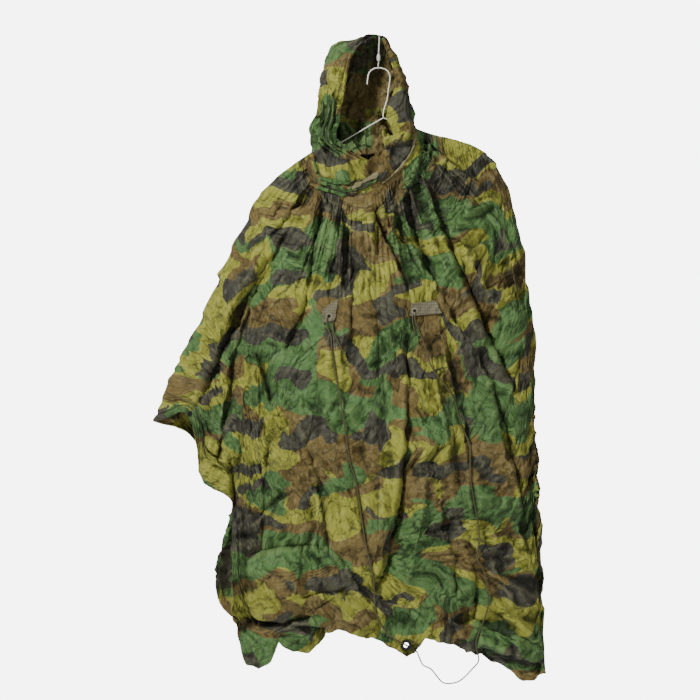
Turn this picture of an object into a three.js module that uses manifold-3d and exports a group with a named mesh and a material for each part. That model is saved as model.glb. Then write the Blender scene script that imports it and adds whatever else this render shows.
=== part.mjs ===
// Hooded rain poncho on a bent-wire hanger, hung by a short string. Millimetres, +Z up, the front
// faces -Y. The origin is the top of the string, where the garment is held.
import * as THREE from 'three';
import Module from 'manifold-3d';
import { mergeVertices } from 'three/addons/utils/BufferGeometryUtils.js';

// Driving dimensions
const WALL = 2; // cloth wall
const SEAM = 0.3; // gap between pieces that touch
const NECK_DEPTH = 75; // half depth of the neck hole, front to back
const FRONT_HEM_DEPTH = 112; // how far the front hem stands off the middle plane
const BACK_HEM_DEPTH = 100;
const ROUNDNESS = 0.6; // below 1 gives a full round fold over the sleeve ridges
const WIRE_RADIUS = 1.6;
const CORD_RADIUS = 1.75;
const STRING_RADIUS = 1.7;

// Cloth colours
const LIME = '#8a8a3c';
const GREEN = '#3f6a44';
const OLIVE = '#6c6a4c';
const PALE = '#9a9566';
const BLACK = '#1b1b1d';
const WHITE = '#e6e2d2';

const named = (columns, rows) => rows.map((row) => Object.fromEntries(row.map((v, i) => [columns[i], v])));

// One row for each ray of cloth, from the neck hole out to the edge, left sleeve ridge first
const RAY = ['neckX', 'neckZ', 'chestX', 'chestZ', 'waistX', 'waistZ', 'edgeX', 'edgeZ'];
const STATIONS = [0, 0.3, 0.65, 1];
const FRONT_RAYS = named(RAY, [
  [-167, -284, -318, -447, -444, -706, -547, -942],
  [-161, -318, -298, -497, -402, -745, -463, -950],
  [-152, -345, -272, -550, -372, -816, -430, -1080],
  [-140, -364, -243, -600, -330, -876, -362, -1128],
  [-126, -376, -213, -648, -308, -962, -355, -1248],
  [-110, -384, -183, -696, -283, -1056, -344, -1442],
  [-92, -389, -149, -720, -228, -1104, -306, -1537],
  [-71, -391, -106, -732, -149, -1128, -168, -1493],
  [-48, -391, -60, -744, -72, -1128, -84, -1433],
  [-24, -386, -12, -744, -5, -1128, 0, -1454],
  [0, -372, 36, -732, 60, -1104, 72, -1500],
  [24, -353, 84, -708, 125, -1080, 134, -1459],
  [48, -331, 132, -672, 192, -1056, 235, -1507],
  [67, -307, 180, -624, 264, -1032, 324, -1560],
  [82, -286, 228, -564, 324, -984, 391, -1541],
  [89, -264, 269, -504, 353, -864, 386, -1272],
  [91, -245, 292, -430, 366, -720, 376, -1008],
  [91, -226, 278, -304, 364, -600, 379, -888],
]);
const BACK_RAYS = named(RAY, [
  [-167, -284, -318, -447, -444, -706, -547, -942],
  [-158, -272, -292, -545, -410, -800, -463, -984],
  [-141, -264, -252, -648, -352, -940, -362, -1150],
  [-119, -258, -211, -720, -318, -1080, -410, -1345],
  [-93, -254, -163, -744, -262, -1128, -362, -1434],
  [-64, -251, -96, -756, -156, -1140, -216, -1445],
  [-34, -250, -19, -756, -24, -1140, -36, -1421],
  [0, -248, 60, -732, 108, -1128, 144, -1440],
  [31, -244, 132, -684, 228, -1080, 288, -1488],
  [58, -240, 197, -612, 312, -1008, 379, -1488],
  [79, -233, 245, -516, 350, -840, 380, -1176],
  [91, -226, 278, -304, 364, -600, 379, -888],
]);

// One row for each fold as it shows from that side: a path, its bow to the right, its width,
// and its depth, which is negative where the fold stands out
const FOLD = ['x0', 'z0', 'x1', 'z1', 'bow', 'width', 'depth'];
const FRONT_FOLDS = named(FOLD, [
  [-175, -379, -269, -504, 0, 15, 14],
  [-259, -528, -442, -912, -10, 20, 26],
  [-221, -437, -398, -739, -7, 22, -12],
  [-127, -391, -173, -631, -7, 15, 15],
  [-173, -631, -230, -773, 0, 15, 12],
  [-149, -398, -192, -600, 0, 15, -9],
  [-91, -398, -84, -648, 5, 15, 12],
  [-41, -398, 72, -640, 10, 15, 17],
  [-17, -398, 58, -620, 12, 15, -11],
  [-67, -413, -72, -797, 2, 15, 8],
  [67, -708, 62, -1044, 0, 15, 16],
  [62, -1000, -10, -1349, 14, 26, 38],
  [106, -1056, 43, -1368, 17, 26, -16],
  [10, -1099, -43, -1368, 12, 29, -12],
  [118, -346, 336, -886, -14, 20, 26],
  [149, -360, 317, -720, -19, 22, -14],
  [60, -422, 209, -746, -7, 15, 19],
  [82, -408, 216, -660, -10, 17, -12],
  [149, -720, 221, -1056, 10, 15, 15],
  [240, -756, 317, -1056, 5, 15, 14],
  [288, -888, 360, -1272, 7, 15, 14],
  [216, -1272, 226, -1428, 7, 15, 18],
  [264, -1272, 341, -1440, 5, 22, -12],
  [168, -1412, 386, -1484, 14, 15, 18],
  [150, -1448, 384, -1528, 12, 15, -14],
  [-307, -1186, -216, -1109, 5, 15, 10],
  [-336, -1272, -144, -1236, 10, 15, 9],
  [-341, -1415, -139, -1404, -14, 20, 30],
  [-192, -1363, -67, -1349, 5, 15, 12],
  [-120, -1236, -19, -1382, 7, 15, 10],
  [-283, -876, -336, -773, 0, 15, -9],
  [-355, -773, -398, -1056, 7, 15, 18],
  [-192, -936, -120, -1272, 10, 15, 9],
  [-264, -960, -283, -1272, -5, 15, 8],
  [144, -1128, 180, -1368, 7, 17, 12],
]);
const BACK_FOLDS = named(FOLD, [
  [-150, -290, -300, -640, -8, 14, 20],
  [-120, -300, -240, -760, -10, 18, -14],
  [-90, -280, -150, -800, -8, 14, 18],
  [-50, -280, -70, -700, -4, 16, -12],
  [-20, -290, -10, -900, 6, 14, 16],
  [20, -280, 90, -760, 8, 16, -12],
  [45, -270, 180, -820, 10, 14, 20],
  [70, -260, 280, -700, 12, 18, -14],
  [85, -260, 330, -820, 14, 14, 20],
  [-230, -760, -300, -1280, -6, 16, 18],
  [-120, -860, -170, -1380, 6, 18, 22],
  [10, -960, 30, -1400, -6, 18, 26],
  [120, -860, 190, -1420, 8, 18, 18],
  [260, -880, 320, -1440, 6, 16, 18],
  [-330, -1240, -200, -1290, 8, 12, 10],
  [180, -1300, 330, -1350, 8, 12, 10],
]);

// Gathers at the neck seam and ruffle waves at the outer edge
const GATHERS = { front: 14, back: 10, height: 5, reach: 0.24 };
const RUFFLES = { front: 9, back: 7, height: 12, start: 0.62 };
const RIDGE_STILL = 0.06; // share of the panel beside a sleeve ridge that stays smooth
// How far the hanger's arms press the sleeve ridges out between the neck and the chest
const SHOULDERS = [{ s: 0, x: -14, z: 9 }, { s: 1, x: -4, z: -1 }];
const SHOULDER_WIDTH = 0.08;
const LEAST_DEPTH = 9; // no fold comes nearer than this to the middle plane
const FLAT_SPOTS = [
  { x: -122, z: -674, radius: 44 },
  { x: 110, z: -668, radius: 60 },
  { x: 62, z: -1474, radius: 46 },
];

const smooth = (a, b, v) => {
  const k = Math.min(1, Math.max(0, (v - a) / (b - a)));
  return k * k * (3 - 2 * k);
};
const mix = (a, b, k) => a + (b - a) * k;

// Value of one column at a place along the rows, on a smooth curve through them all
function column(rows, key, places, place) {
  let i = 0;
  while (i < places.length - 2 && place > places[i + 1]) i += 1;
  const slope = (j) => {
    const lo = Math.max(0, j - 1);
    const hi = Math.min(places.length - 1, j + 1);
    return (rows[hi][key] - rows[lo][key]) / (places[hi] - places[lo]);
  };
  const span = places[i + 1] - places[i];
  const k = (place - places[i]) / span;
  const k2 = k * k;
  const k3 = k2 * k;
  return (2 * k3 - 3 * k2 + 1) * rows[i][key] + (k3 - 2 * k2 + k) * span * slope(i)
    + (3 * k2 - 2 * k3) * rows[i + 1][key] + (k3 - k2) * span * slope(i + 1);
}

// How far the folds of a panel push its cloth inwards at a place seen from that side
const FOLD_STEPS = 10;
function foldDepth(folds, x, z) {
  let sum = 0;
  for (const f of folds) {
    const length = Math.hypot(f.x1 - f.x0, f.z1 - f.z0);
    const sideX = -(f.z1 - f.z0) / length;
    const sideZ = (f.x1 - f.x0) / length;
    let best = Infinity;
    let along = 0;
    for (let i = 0; i <= FOLD_STEPS; i += 1) {
      const k = i / FOLD_STEPS;
      const bow = 4 * f.bow * k * (1 - k);
      const px = mix(f.x0, f.x1, k) + sideX * bow;
      const pz = mix(f.z0, f.z1, k) + sideZ * bow;
      const d = Math.abs((x - px) * sideX + (z - pz) * sideZ);
      const off = Math.abs((x - px) * sideZ - (z - pz) * sideX);
      if (off < best) {
        best = off;
        along = k;
        f.distance = d;
      }
    }
    const beyond = Math.max(0, best - length / FOLD_STEPS / 2);
    const ends = smooth(-0.02, 0.2, along) * smooth(-0.02, 0.2, 1 - along);
    sum += f.depth * ends * Math.exp(-((f.distance / f.width) ** 2) - (beyond / f.width) ** 2);
  }
  return sum;
}

const FRONT = { rays: FRONT_RAYS, folds: FRONT_FOLDS, side: -1, hemDepth: FRONT_HEM_DEPTH,
  gathers: GATHERS.front, ruffles: RUFFLES.front };
const BACK = { rays: BACK_RAYS, folds: BACK_FOLDS, side: 1, hemDepth: BACK_HEM_DEPTH,
  gathers: GATHERS.back, ruffles: RUFFLES.back };

// A point of a body panel: s runs from the left sleeve ridge to the right one, t from neck to edge
function panelPoint(panel, s, t) {
  const places = panel.rays.map((_, i) => i / (panel.rays.length - 1));
  const at = (key) => column(panel.rays, key, places, s);
  const stations = [
    { x: at('neckX'), z: at('neckZ') },
    { x: at('chestX'), z: at('chestZ') },
    { x: at('waistX'), z: at('waistZ') },
    { x: at('edgeX'), z: at('edgeZ') },
  ];
  let x = column(stations, 'x', STATIONS, t);
  let z = column(stations, 'z', STATIONS, t);
  for (const shoulder of SHOULDERS) {
    const press = Math.sin(Math.PI * Math.min(1, t / STATIONS[1])) * Math.exp(-(((s - shoulder.s) / SHOULDER_WIDTH) ** 2));
    x += shoulder.x * press;
    z += shoulder.z * press;
  }
  const round = Math.sin(Math.PI * s) ** ROUNDNESS || 0;
  const base = mix(NECK_DEPTH, panel.hemDepth, t) * round;
  const still = smooth(0, RIDGE_STILL, s) * smooth(0, RIDGE_STILL, 1 - s);
  const gather = GATHERS.height * Math.sin(2 * Math.PI * panel.gathers * s)
    * smooth(0, 0.05, t) * (1 - smooth(0.08, GATHERS.reach, t));
  const ruffle = RUFFLES.height * Math.sin(2 * Math.PI * panel.ruffles * s + 3 * Math.sin(5 * s))
    * smooth(RUFFLES.start, 1, t);
  let calm = 1;
  if (panel === FRONT) {
    for (const spot of FLAT_SPOTS) {
      calm *= 1 - Math.exp(-((Math.hypot(x - spot.x, z - spot.z) / spot.radius) ** 4));
    }
  }
  const push = (foldDepth(panel.folds, x, z) * smooth(0, 0.07, t) + gather + ruffle) * still * calm;
  const depth = Math.max(base - push, Math.min(base, LEAST_DEPTH));
  return new THREE.Vector3(x, panel.side * (SEAM / 2 + depth), z);
}

// Hood: one row for each level of a half, with its front rim, its widest place and the centre seam
const HOOD = ['v', 'frontX', 'frontZ', 'frontY', 'sideX', 'sideZ', 'backX', 'backZ', 'backY'];
const HOOD_LEFT = named(HOOD, [
  [0, -48, -391, -75, -167, -284, -34, -250, 75],
  [0.12, -28, -312, -84, -166, -244, -36, -208, 88],
  [0.25, -101, -270, -78, -157, -206, -34, -166, 100],
  [0.4, -99, -205, -62, -142, -166, -31, -120, 108],
  [0.6, -86, -138, -42, -128, -103, -26, -62, 100],
  [0.8, -72, -64, -18, -118, -50, -17, -22, 68],
  [0.92, -50, -30, -4, -96, -20, -9, -9, 38],
  [1, -10, -12, 5, -40, -10, -4, -4, 16],
]);
const HOOD_RIGHT = named(HOOD, [
  [0, -48, -391, -75, 91, -226, -34, -250, 75],
  [0.12, -28, -312, -84, 79, -208, -36, -208, 88],
  [0.25, 31, -262, -76, 77, -180, -34, -166, 100],
  [0.4, 18, -200, -58, 73, -146, -31, -120, 108],
  [0.6, 40, -124, -38, 62, -104, -26, -62, 100],
  [0.8, 28, -60, -14, 40, -54, -17, -22, 68],
  [0.92, 16, -32, -2, 25, -26, -9, -9, 38],
  [1, 5, -12, 5, 14, -8, -4, -4, 16],
]);
const THROAT = 0.12; // the face opening starts here, above the joined throat
const HOOD_LEVELS = [0, 0.04, 0.08, 0.12, 0.2, 0.3, 0.41, 0.53, 0.65, 0.77, 0.88, 0.95, 1];
const NECK_BLEND = 0.14; // share of the hood that bends down to the neck seam
const NECK_LIFT = 0.5;
const NECK_TUCKS = { count: 7, height: 3, reach: 0.2 };

// Pleats of the hood: places across and up the half, width across, and depth
const PLEAT = ['u0', 'v0', 'u1', 'v1', 'width', 'depth'];
const HOOD_PLEATS = named(PLEAT, [
  [0.16, 0.1, 0.14, 0.85, 0.04, 6],
  [0.28, 0.05, 0.3, 0.7, 0.045, -6],
  [0.42, 0.05, 0.4, 0.9, 0.04, 6],
  [0.58, 0.05, 0.62, 0.8, 0.05, -5],
  [0.74, 0.05, 0.72, 0.7, 0.045, 6],
]);

// The columns of a hood half: every second column of the body's neck edge, and each one beside
// the sleeve ridge, so that the two edges run side by side
const GRID = { frontColumns: 68, backColumns: 44, lines: 22, backLines: 12 };
const FRONT_CENTRE = 32;
const BACK_CENTRE = 24;
function hoodColumns(sign) {
  const far = sign < 0 ? 0 : 1;
  const stops = (count) => [0, 1, ...Array.from({ length: count / 2 }, (_, i) => 2 * (i + 1))];
  const frontCount = Math.abs(far * GRID.frontColumns - FRONT_CENTRE);
  const backCount = Math.abs(far * GRID.backColumns - BACK_CENTRE);
  const front = stops(frontCount).reverse().map((i) => (
    { u: 0.5 - (0.5 * i) / frontCount, panel: FRONT, s: Math.abs(far - i / GRID.frontColumns) }));
  const back = stops(backCount).slice(1).map((i) => (
    { u: 0.5 + (0.5 * i) / backCount, panel: BACK, s: Math.abs(far - i / GRID.backColumns) }));
  return [...front, ...back];
}

function hoodArc(rows, sign, u, v) {
  const places = rows.map((r) => r.v);
  const at = (key) => column(rows, key, places, v);
  const above = rows.filter((r) => r.v >= THROAT);
  const rim = (key) => (v < THROAT ? mix(rows[0][key], rows[1][key], v / THROAT)
    : column(above, key, above.map((r) => r.v), v));
  const turn = (1 - Math.cos(Math.PI * u)) / 2;
  const wide = Math.sin(Math.PI * u) ** 0.75 || 0;
  const outX = at('sideX') - (rim('frontX') + at('backX')) / 2;
  const outZ = at('sideZ') - (rim('frontZ') + at('backZ')) / 2;
  return new THREE.Vector3(mix(rim('frontX'), at('backX'), u) + outX * wide + (sign * SEAM) / 2,
    mix(rim('frontY'), at('backY'), turn), mix(rim('frontZ'), at('backZ'), turn) + outZ * wide);
}

function hoodPoint(rows, sign, { u, panel, s }, v) {
  const point = hoodArc(rows, sign, u, v);
  const neck = panelPoint(panel, s, 0);
  neck.x += (sign * SEAM) / 2;
  neck.z += NECK_LIFT;
  point.addScaledVector(neck.sub(hoodArc(rows, sign, u, 0)), 1 - smooth(0, NECK_BLEND, v));
  let push = NECK_TUCKS.height * Math.sin(2 * Math.PI * NECK_TUCKS.count * u)
    * smooth(0, 0.05, v) * (1 - smooth(0.06, NECK_TUCKS.reach, v));
  for (const p of HOOD_PLEATS) {
    const k = Math.min(1, Math.max(0, (v - p.v0) / (p.v1 - p.v0)));
    const d = (u - mix(p.u0, p.u1, k)) / p.width;
    push += p.depth * Math.exp(-d * d) * Math.sin(Math.PI * k);
  }
  const still = smooth(0, 0.08, u) * smooth(0, 0.1, 1 - u);
  const centre = new THREE.Vector3(mix(-35, 0, v), mix(0, 30, v), point.z);
  const outward = point.clone().sub(centre).normalize();
  return point.addScaledVector(outward, -push * still);
}

// A wall of cloth from a grid of outer points. flat names the borders whose wall turns straight
// inwards, with no step along that axis, so that it meets its neighbour face to face
function wall(grid, inwards, thickness, flat = {}) {
  const m = grid.length - 1;
  const n = grid[0].length - 1;
  const inner = grid.map((line, i) => line.map((p, j) => {
    const ds = grid[Math.min(m, i + 1)][j].clone().sub(grid[Math.max(0, i - 1)][j]);
    const dt = line[Math.min(n, j + 1)].clone().sub(line[Math.max(0, j - 1)]);
    const normal = ds.cross(dt).multiplyScalar(inwards);
    if ((i === 0 && flat.first) || (i === m && flat.last)) normal[flat.axis] = 0;
    return p.clone().addScaledVector(normal.normalize(), thickness);
  }));
  return shell(grid, inner);
}

// A closed body between two grids of points, with its faces pointing out
function shell(outer, inner) {
  const m = outer.length - 1;
  const n = outer[0].length - 1;
  const positions = [...outer.flat(), ...inner.flat()].flatMap((p) => [p.x, p.y, p.z]);
  const a = (i, j) => i * (n + 1) + j;
  const b = (i, j) => (m + 1) * (n + 1) + a(i, j);
  const faces = [];
  const quad = (p, q, r, s) => faces.push(p, q, r, p, r, s);
  for (let i = 0; i < m; i += 1) {
    for (let j = 0; j < n; j += 1) {
      quad(a(i, j), a(i, j + 1), a(i + 1, j + 1), a(i + 1, j));
      quad(b(i, j), b(i + 1, j), b(i + 1, j + 1), b(i, j + 1));
    }
    quad(a(i, 0), a(i + 1, 0), b(i + 1, 0), b(i, 0));
    quad(a(i, n), b(i, n), b(i + 1, n), a(i + 1, n));
  }
  for (let j = 0; j < n; j += 1) {
    quad(a(0, j), b(0, j), b(0, j + 1), a(0, j + 1));
    quad(a(m, j), a(m, j + 1), b(m, j + 1), b(m, j));
  }
  const geometry = new THREE.BufferGeometry();
  geometry.setAttribute('position', new THREE.Float32BufferAttribute(positions, 3));
  geometry.setIndex(volume(positions, faces) < 0 ? turned(faces) : faces);
  return geometry;
}

function volume(positions, faces) {
  const at = (i) => new THREE.Vector3().fromArray(positions, 3 * i);
  let sum = 0;
  for (let i = 0; i < faces.length; i += 3) {
    sum += at(faces[i]).dot(at(faces[i + 1]).cross(at(faces[i + 2])));
  }
  return sum / 6;
}

function turned(faces) {
  const out = [];
  for (let i = 0; i < faces.length; i += 3) out.push(faces[i], faces[i + 2], faces[i + 1]);
  return out;
}

function gridOf(columns, rows, at) {
  return Array.from({ length: columns + 1 }, (_, i) => (
    Array.from({ length: rows + 1 }, (__, j) => at(i / columns, j / rows))));
}

// Where the front panel passes a place seen from the front, by stepping towards it
function locate(x, z) {
  let s = 0.5;
  let t = 0.5;
  let best = Infinity;
  for (let i = 1; i < 40; i += 1) {
    for (let j = 0; j <= 20; j += 1) {
      const p = panelPoint(FRONT, i / 40, j / 20);
      const d = Math.hypot(p.x - x, p.z - z);
      if (d < best) {
        best = d;
        s = i / 40;
        t = j / 20;
      }
    }
  }
  const h = 1e-3;
  for (let i = 0; i < 8; i += 1) {
    const p = panelPoint(FRONT, s, t);
    const ps = panelPoint(FRONT, s + h, t).sub(p).divideScalar(h);
    const pt = panelPoint(FRONT, s, t + h).sub(p).divideScalar(h);
    const det = ps.x * pt.z - ps.z * pt.x;
    s += ((x - p.x) * pt.z - (z - p.z) * pt.x) / det;
    t += ((z - p.z) * ps.x - (x - p.x) * ps.z) / det;
  }
  return { s, t };
}

// A point on the facets of the front cloth seen at a place, and the way they face there
function onFront(x, z) {
  const { s, t } = locate(x, z);
  const i = Math.min(frontGrid.length - 2, Math.floor(s * GRID.frontColumns));
  const j = Math.min(frontGrid[0].length - 2, Math.floor(t * GRID.lines));
  const a = s * GRID.frontColumns - i;
  const b = t * GRID.lines - j;
  const corner = (di, dj) => frontGrid[i + di][j + dj].clone();
  const point = corner(0, 0).lerp(corner(1, 0), a).lerp(corner(0, 1).lerp(corner(1, 1), a), b);
  const across = corner(1, 0).lerp(corner(1, 1), b).sub(corner(0, 0).lerp(corner(0, 1), b));
  const down = corner(0, 1).lerp(corner(1, 1), a).sub(corner(0, 0).lerp(corner(1, 0), a));
  return { point, facing: down.cross(across).normalize() };
}

const group = new THREE.Group();
function add(name, geometry, colour, roughness = 0.7, metalness = 0) {
  const material = new THREE.MeshStandardMaterial({ color: colour, roughness, metalness });
  const mesh = new THREE.Mesh(geometry, material);
  mesh.name = name;
  group.add(mesh);
  return mesh;
}

const wasm = await Module();
wasm.setup();

function solid(geometry) {
  const plain = geometry.clone();
  plain.deleteAttribute('normal');
  plain.deleteAttribute('uv');
  const merged = mergeVertices(plain, 1e-3);
  return new wasm.Manifold(new wasm.Mesh({
    numProp: 3,
    vertProperties: new Float32Array(merged.attributes.position.array),
    triVerts: new Uint32Array(merged.index.array),
  }));
}

function without(geometry, ...cutters) {
  const left = cutters.reduce((body, cutter) => body.subtract(solid(cutter)), solid(geometry));
  const mesh = left.getMesh();
  const out = new THREE.BufferGeometry();
  out.setAttribute('position', new THREE.Float32BufferAttribute(mesh.vertProperties, 3));
  out.setIndex([...mesh.triVerts]);
  return out;
}

// Turns a shape made round +Z so that its axis points along facing, at a point
function stand(geometry, point, facing) {
  const turn = new THREE.Quaternion().setFromUnitVectors(new THREE.Vector3(0, 0, 1), facing);
  return geometry.applyQuaternion(turn).translate(point.x, point.y, point.z);
}

function bar(radius, length, sides = 20) {
  return new THREE.CylinderGeometry(radius, radius, length, sides).rotateX(Math.PI / 2);
}

function turnedRing(profile, sides) {
  const points = profile.map(([r, z]) => new THREE.Vector2(r, z));
  return new THREE.LatheGeometry([...points, points[0].clone()], sides).rotateX(Math.PI / 2);
}

function turnedSolid(profile, sides) {
  return new THREE.LatheGeometry(profile.map(([r, z]) => new THREE.Vector2(r, z)), sides)
    .rotateX(Math.PI / 2);
}

function tube(points, radius, steps, sides = 8) {
  const shape = new THREE.Shape();
  for (let i = 0; i < sides; i += 1) {
    const angle = (2 * Math.PI * i) / sides;
    shape[i ? 'lineTo' : 'moveTo'](radius * Math.cos(angle), radius * Math.sin(angle));
  }
  const path = new THREE.CatmullRomCurve3(points.map((p) => new THREE.Vector3(...p)), false, 'centripetal');
  return new THREE.ExtrudeGeometry(shape, { steps, extrudePath: path, bevelEnabled: false });
}

// Body: the front has a hole for the hem grommet
const GROMMET = { x: 62, z: -1474, hole: 6.5, barrel: 9, flange: 12.5, plate: 1.2 };
const CUFF_FLAT = { axis: 'y', first: true, last: true };
const frontGrid = gridOf(GRID.frontColumns, GRID.lines, (s, t) => panelPoint(FRONT, s, t));
const grommetAt = onFront(GROMMET.x, GROMMET.z);
const backGrid = gridOf(GRID.backColumns, GRID.backLines, (s, t) => panelPoint(BACK, s, t));
const grommetHole = stand(bar(GROMMET.barrel + SEAM, 8 * WALL), grommetAt.point, grommetAt.facing);
add('body_front', without(wall(frontGrid, 1, WALL, CUFF_FLAT), grommetHole), LIME);
add('body_back', wall(backGrid, -1, WALL, CUFF_FLAT), GREEN);

// Hood: two halves that meet at the centre seam
const SEAM_FLAT = { axis: 'x', first: true, last: true };
const hoodGrid = (rows, sign) => hoodColumns(sign).map((c) => (
  HOOD_LEVELS.map((v) => hoodPoint(rows, sign, c, v))));
const leftHood = hoodGrid(HOOD_LEFT, -1);
const rightHood = hoodGrid(HOOD_RIGHT, 1);
add('hood_left', wall(leftHood, -1, WALL, SEAM_FLAT), GREEN);
add('hood_right', wall(rightHood, 1, WALL, SEAM_FLAT), LIME);

// A strip that follows the columns of a hood half between two lines, moved out from its cloth
function hoodStrip(grid, sign, { from, to, low, middle, high }, lift, thickness) {
  const width = Math.abs(to - from);
  const at = (i, line, out) => {
    const j = Math.floor(line);
    const p = grid[i][j].clone().lerp(grid[i][j + 1], line - j);
    const ds = grid[i + 1][j].clone().sub(grid[i - 1][j]);
    const dt = grid[i][j + 1].clone().sub(grid[i][j]);
    return p.addScaledVector(ds.cross(dt).multiplyScalar(-sign).normalize(), out);
  };
  const layer = (out) => Array.from({ length: width + 1 }, (_, k) => {
    const i = from + Math.sign(to - from) * k;
    const start = mix(low[0], low[1], k / width);
    const end = mix(high[0], high[1], k / width);
    return [start, middle ?? (start + end) / 2, end].map((line) => at(i, line, out));
  });
  return shell(layer(lift + thickness), layer(lift));
}
const FLAP = { from: 13, to: 1, low: [0.5, 0.5], middle: 1, high: [1.5, 1.95] };
const TAPE = { from: 8, to: 1, low: [1.05, 1.3], high: [1.4, 1.7] };
const COLLAR = { from: 1, to: 16, low: [0.3, 0.3], high: [0.9, 0.9] };
const STRIP_LIFT = 1.4; // clears the facets of the cloth that it lies on
const FLAP_WALL = 1.5;
const TAPE_WALL = 1.2;
add('throat_flap', hoodStrip(leftHood, -1, FLAP, STRIP_LIFT, FLAP_WALL), LIME);
add('throat_tape', hoodStrip(leftHood, -1, TAPE, STRIP_LIFT + FLAP_WALL + SEAM, TAPE_WALL), PALE);
add('collar_tape', hoodStrip(rightHood, 1, COLLAR, STRIP_LIFT, TAPE_WALL), PALE);

// Drawcord tabs: four corners as seen from the front, and the hole that the cord leaves by
const TAB = { lift: 1.5, thickness: 1.5, hole: 4, columns: 4, lines: 3 };
function tab(corners, hole) {
  const [topLeft, topRight, bottomRight, bottomLeft] = corners;
  const at = (a, b, out) => {
    const x = mix(mix(topLeft[0], topRight[0], a), mix(bottomLeft[0], bottomRight[0], a), b);
    const z = mix(mix(topLeft[1], topRight[1], a), mix(bottomLeft[1], bottomRight[1], a), b);
    const { point, facing } = onFront(x, z);
    return point.addScaledVector(facing, out);
  };
  const plate = shell(gridOf(TAB.columns, TAB.lines, (a, b) => at(a, b, TAB.lift + TAB.thickness)),
    gridOf(TAB.columns, TAB.lines, (a, b) => at(a, b, TAB.lift)));
  const { point, facing } = onFront(...hole);
  return without(plate, stand(bar(TAB.hole, 12, 12), point, facing));
}
const LEFT_HOLE = [-126, -687];
const RIGHT_HOLE = [86, -672];
add('waist_tab_left', tab([[-140, -672], [-99, -643], [-108, -696], [-138, -704]], LEFT_HOLE), OLIVE);
add('waist_tab_right', tab([[74, -656], [136, -649], [149, -680], [72, -687]], RIGHT_HOLE), OLIVE);

// Drawcords: the long one leaves the left tab, passes through the grommet from the front to the
// back, hangs in a loop under the hem and climbs to the right tab. The short ones end free
const LONG_CORD = [
  [-126, -87, -686], [-127, -87, -710], [-118, -88, -734], [-115, -90, -768], [-108, -92, -814],
  [-91, -96, -912], [-72, -100, -1034], [-58, -102, -1082], [-38, -113, -1210], [-29, -118, -1258],
  [-17, -120, -1306], [-12, -121, -1382], [-2, -121, -1416], [22, -124, -1446], [51, -124, -1465],
  [62, -107, -1473], [73, -90, -1481], [88, -84, -1492], [94, -92, -1505], [103, -96, -1522], [122, -98, -1532],
  [146, -98, -1560], [161, -98, -1566], [190, -98, -1560], [221, -97, -1531], [236, -97, -1510],
  [230, -99, -1466], [259, -92, -1380], [250, -92, -1301], [233, -90, -1267], [238, -89, -1210],
  [218, -89, -1082], [214, -82, -996], [194, -80, -946], [175, -84, -881], [124, -87, -808],
  [103, -86, -744], [84, -84.6, -697], [86, -84.6, -676],
];
const SHORT_CORD = [
  [-112, -85, -697.8], [-113, -86, -712], [-111, -88, -727], [-101, -89, -746], [-86, -89, -778],
];
const STUB_CORD = [[78, -83.5, -686.8], [79, -84, -702], [85, -84, -730]];
const CORD_COLOUR = '#5d5a3a';
add('waist_cord', tube(LONG_CORD, CORD_RADIUS, 80, 6), CORD_COLOUR);
add('waist_cord_short', tube(SHORT_CORD, CORD_RADIUS, 10), CORD_COLOUR);
add('waist_cord_stub', tube(STUB_CORD, CORD_RADIUS, 5), CORD_COLOUR);

// Snap fasteners: a cap on the cloth, with a raised ring round its socket
const SNAP = [[0, 0], [7.5, 0], [7.5, 1.2], [6.6, 2.6], [4.4, 2.8], [3.6, 1.6], [0, 1.6]];
const snapOn = ({ point, facing }) => stand(turnedSolid(SNAP, 14),
  point.addScaledVector(facing, SEAM + 0.6), facing);
add('snap_cuff_left', snapOn(onFront(-458, -922)), BLACK, 0.4);
add('snap_side_left', snapOn(onFront(-346, -1164)), BLACK, 0.4);

// Grommet: two plates and a barrel that clear the cloth by the seam gap
const half = WALL / 2 + 5 * SEAM;
const grommetProfile = [
  [GROMMET.hole, -half - GROMMET.plate], [GROMMET.flange, -half - GROMMET.plate], [GROMMET.flange, -half],
  [GROMMET.barrel, -half], [GROMMET.barrel, half], [GROMMET.flange, half],
  [GROMMET.flange, half + GROMMET.plate], [GROMMET.hole, half + GROMMET.plate],
];
const grommetMiddle = grommetAt.point.clone().addScaledVector(grommetAt.facing, -WALL / 2);
add('hem_grommet', stand(turnedRing(grommetProfile, 20), grommetMiddle, grommetAt.facing), BLACK, 0.4, 0.4);

// Wire hanger: the frame is one bent wire whose ends meet at the hook's twisted foot
const FRAME_ROUTE = [
  [7.5, 0, -201.2], [-40, 0, -228.8], [-89, 0, -257.6], [-140, 0, -284], [-172, 0, -301], [-179, 0, -308],
  [-179, 0, -317], [-170, 0, -322], [20, 0, -309], [196, 0, -296], [208, 0, -291], [213, 0, -284],
  [208, 0, -276.5], [196, 0, -269], [100, 0, -234.3], [12.3, 0, -200.8],
];
const HOOK_ROUTE = [
  [9.9, 0, -201.5], [9, 0, -191], [14, 0, -170], [18, 0, -160], [22.3, 0, -130], [25.9, 0, -102],
  [22.5, 0, -88], [12, 0, -80], [-3.8, 0, -77.5], [-17, 0, -81], [-26, 0, -91], [-29, 0, -105], [-30, 0, -118],
];
add('hanger_frame', tube(FRAME_ROUTE, WIRE_RADIUS, 48), WHITE, 0.4);
add('hanger_hook', tube(HOOK_ROUTE, WIRE_RADIUS, 22), WHITE, 0.4);

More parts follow.
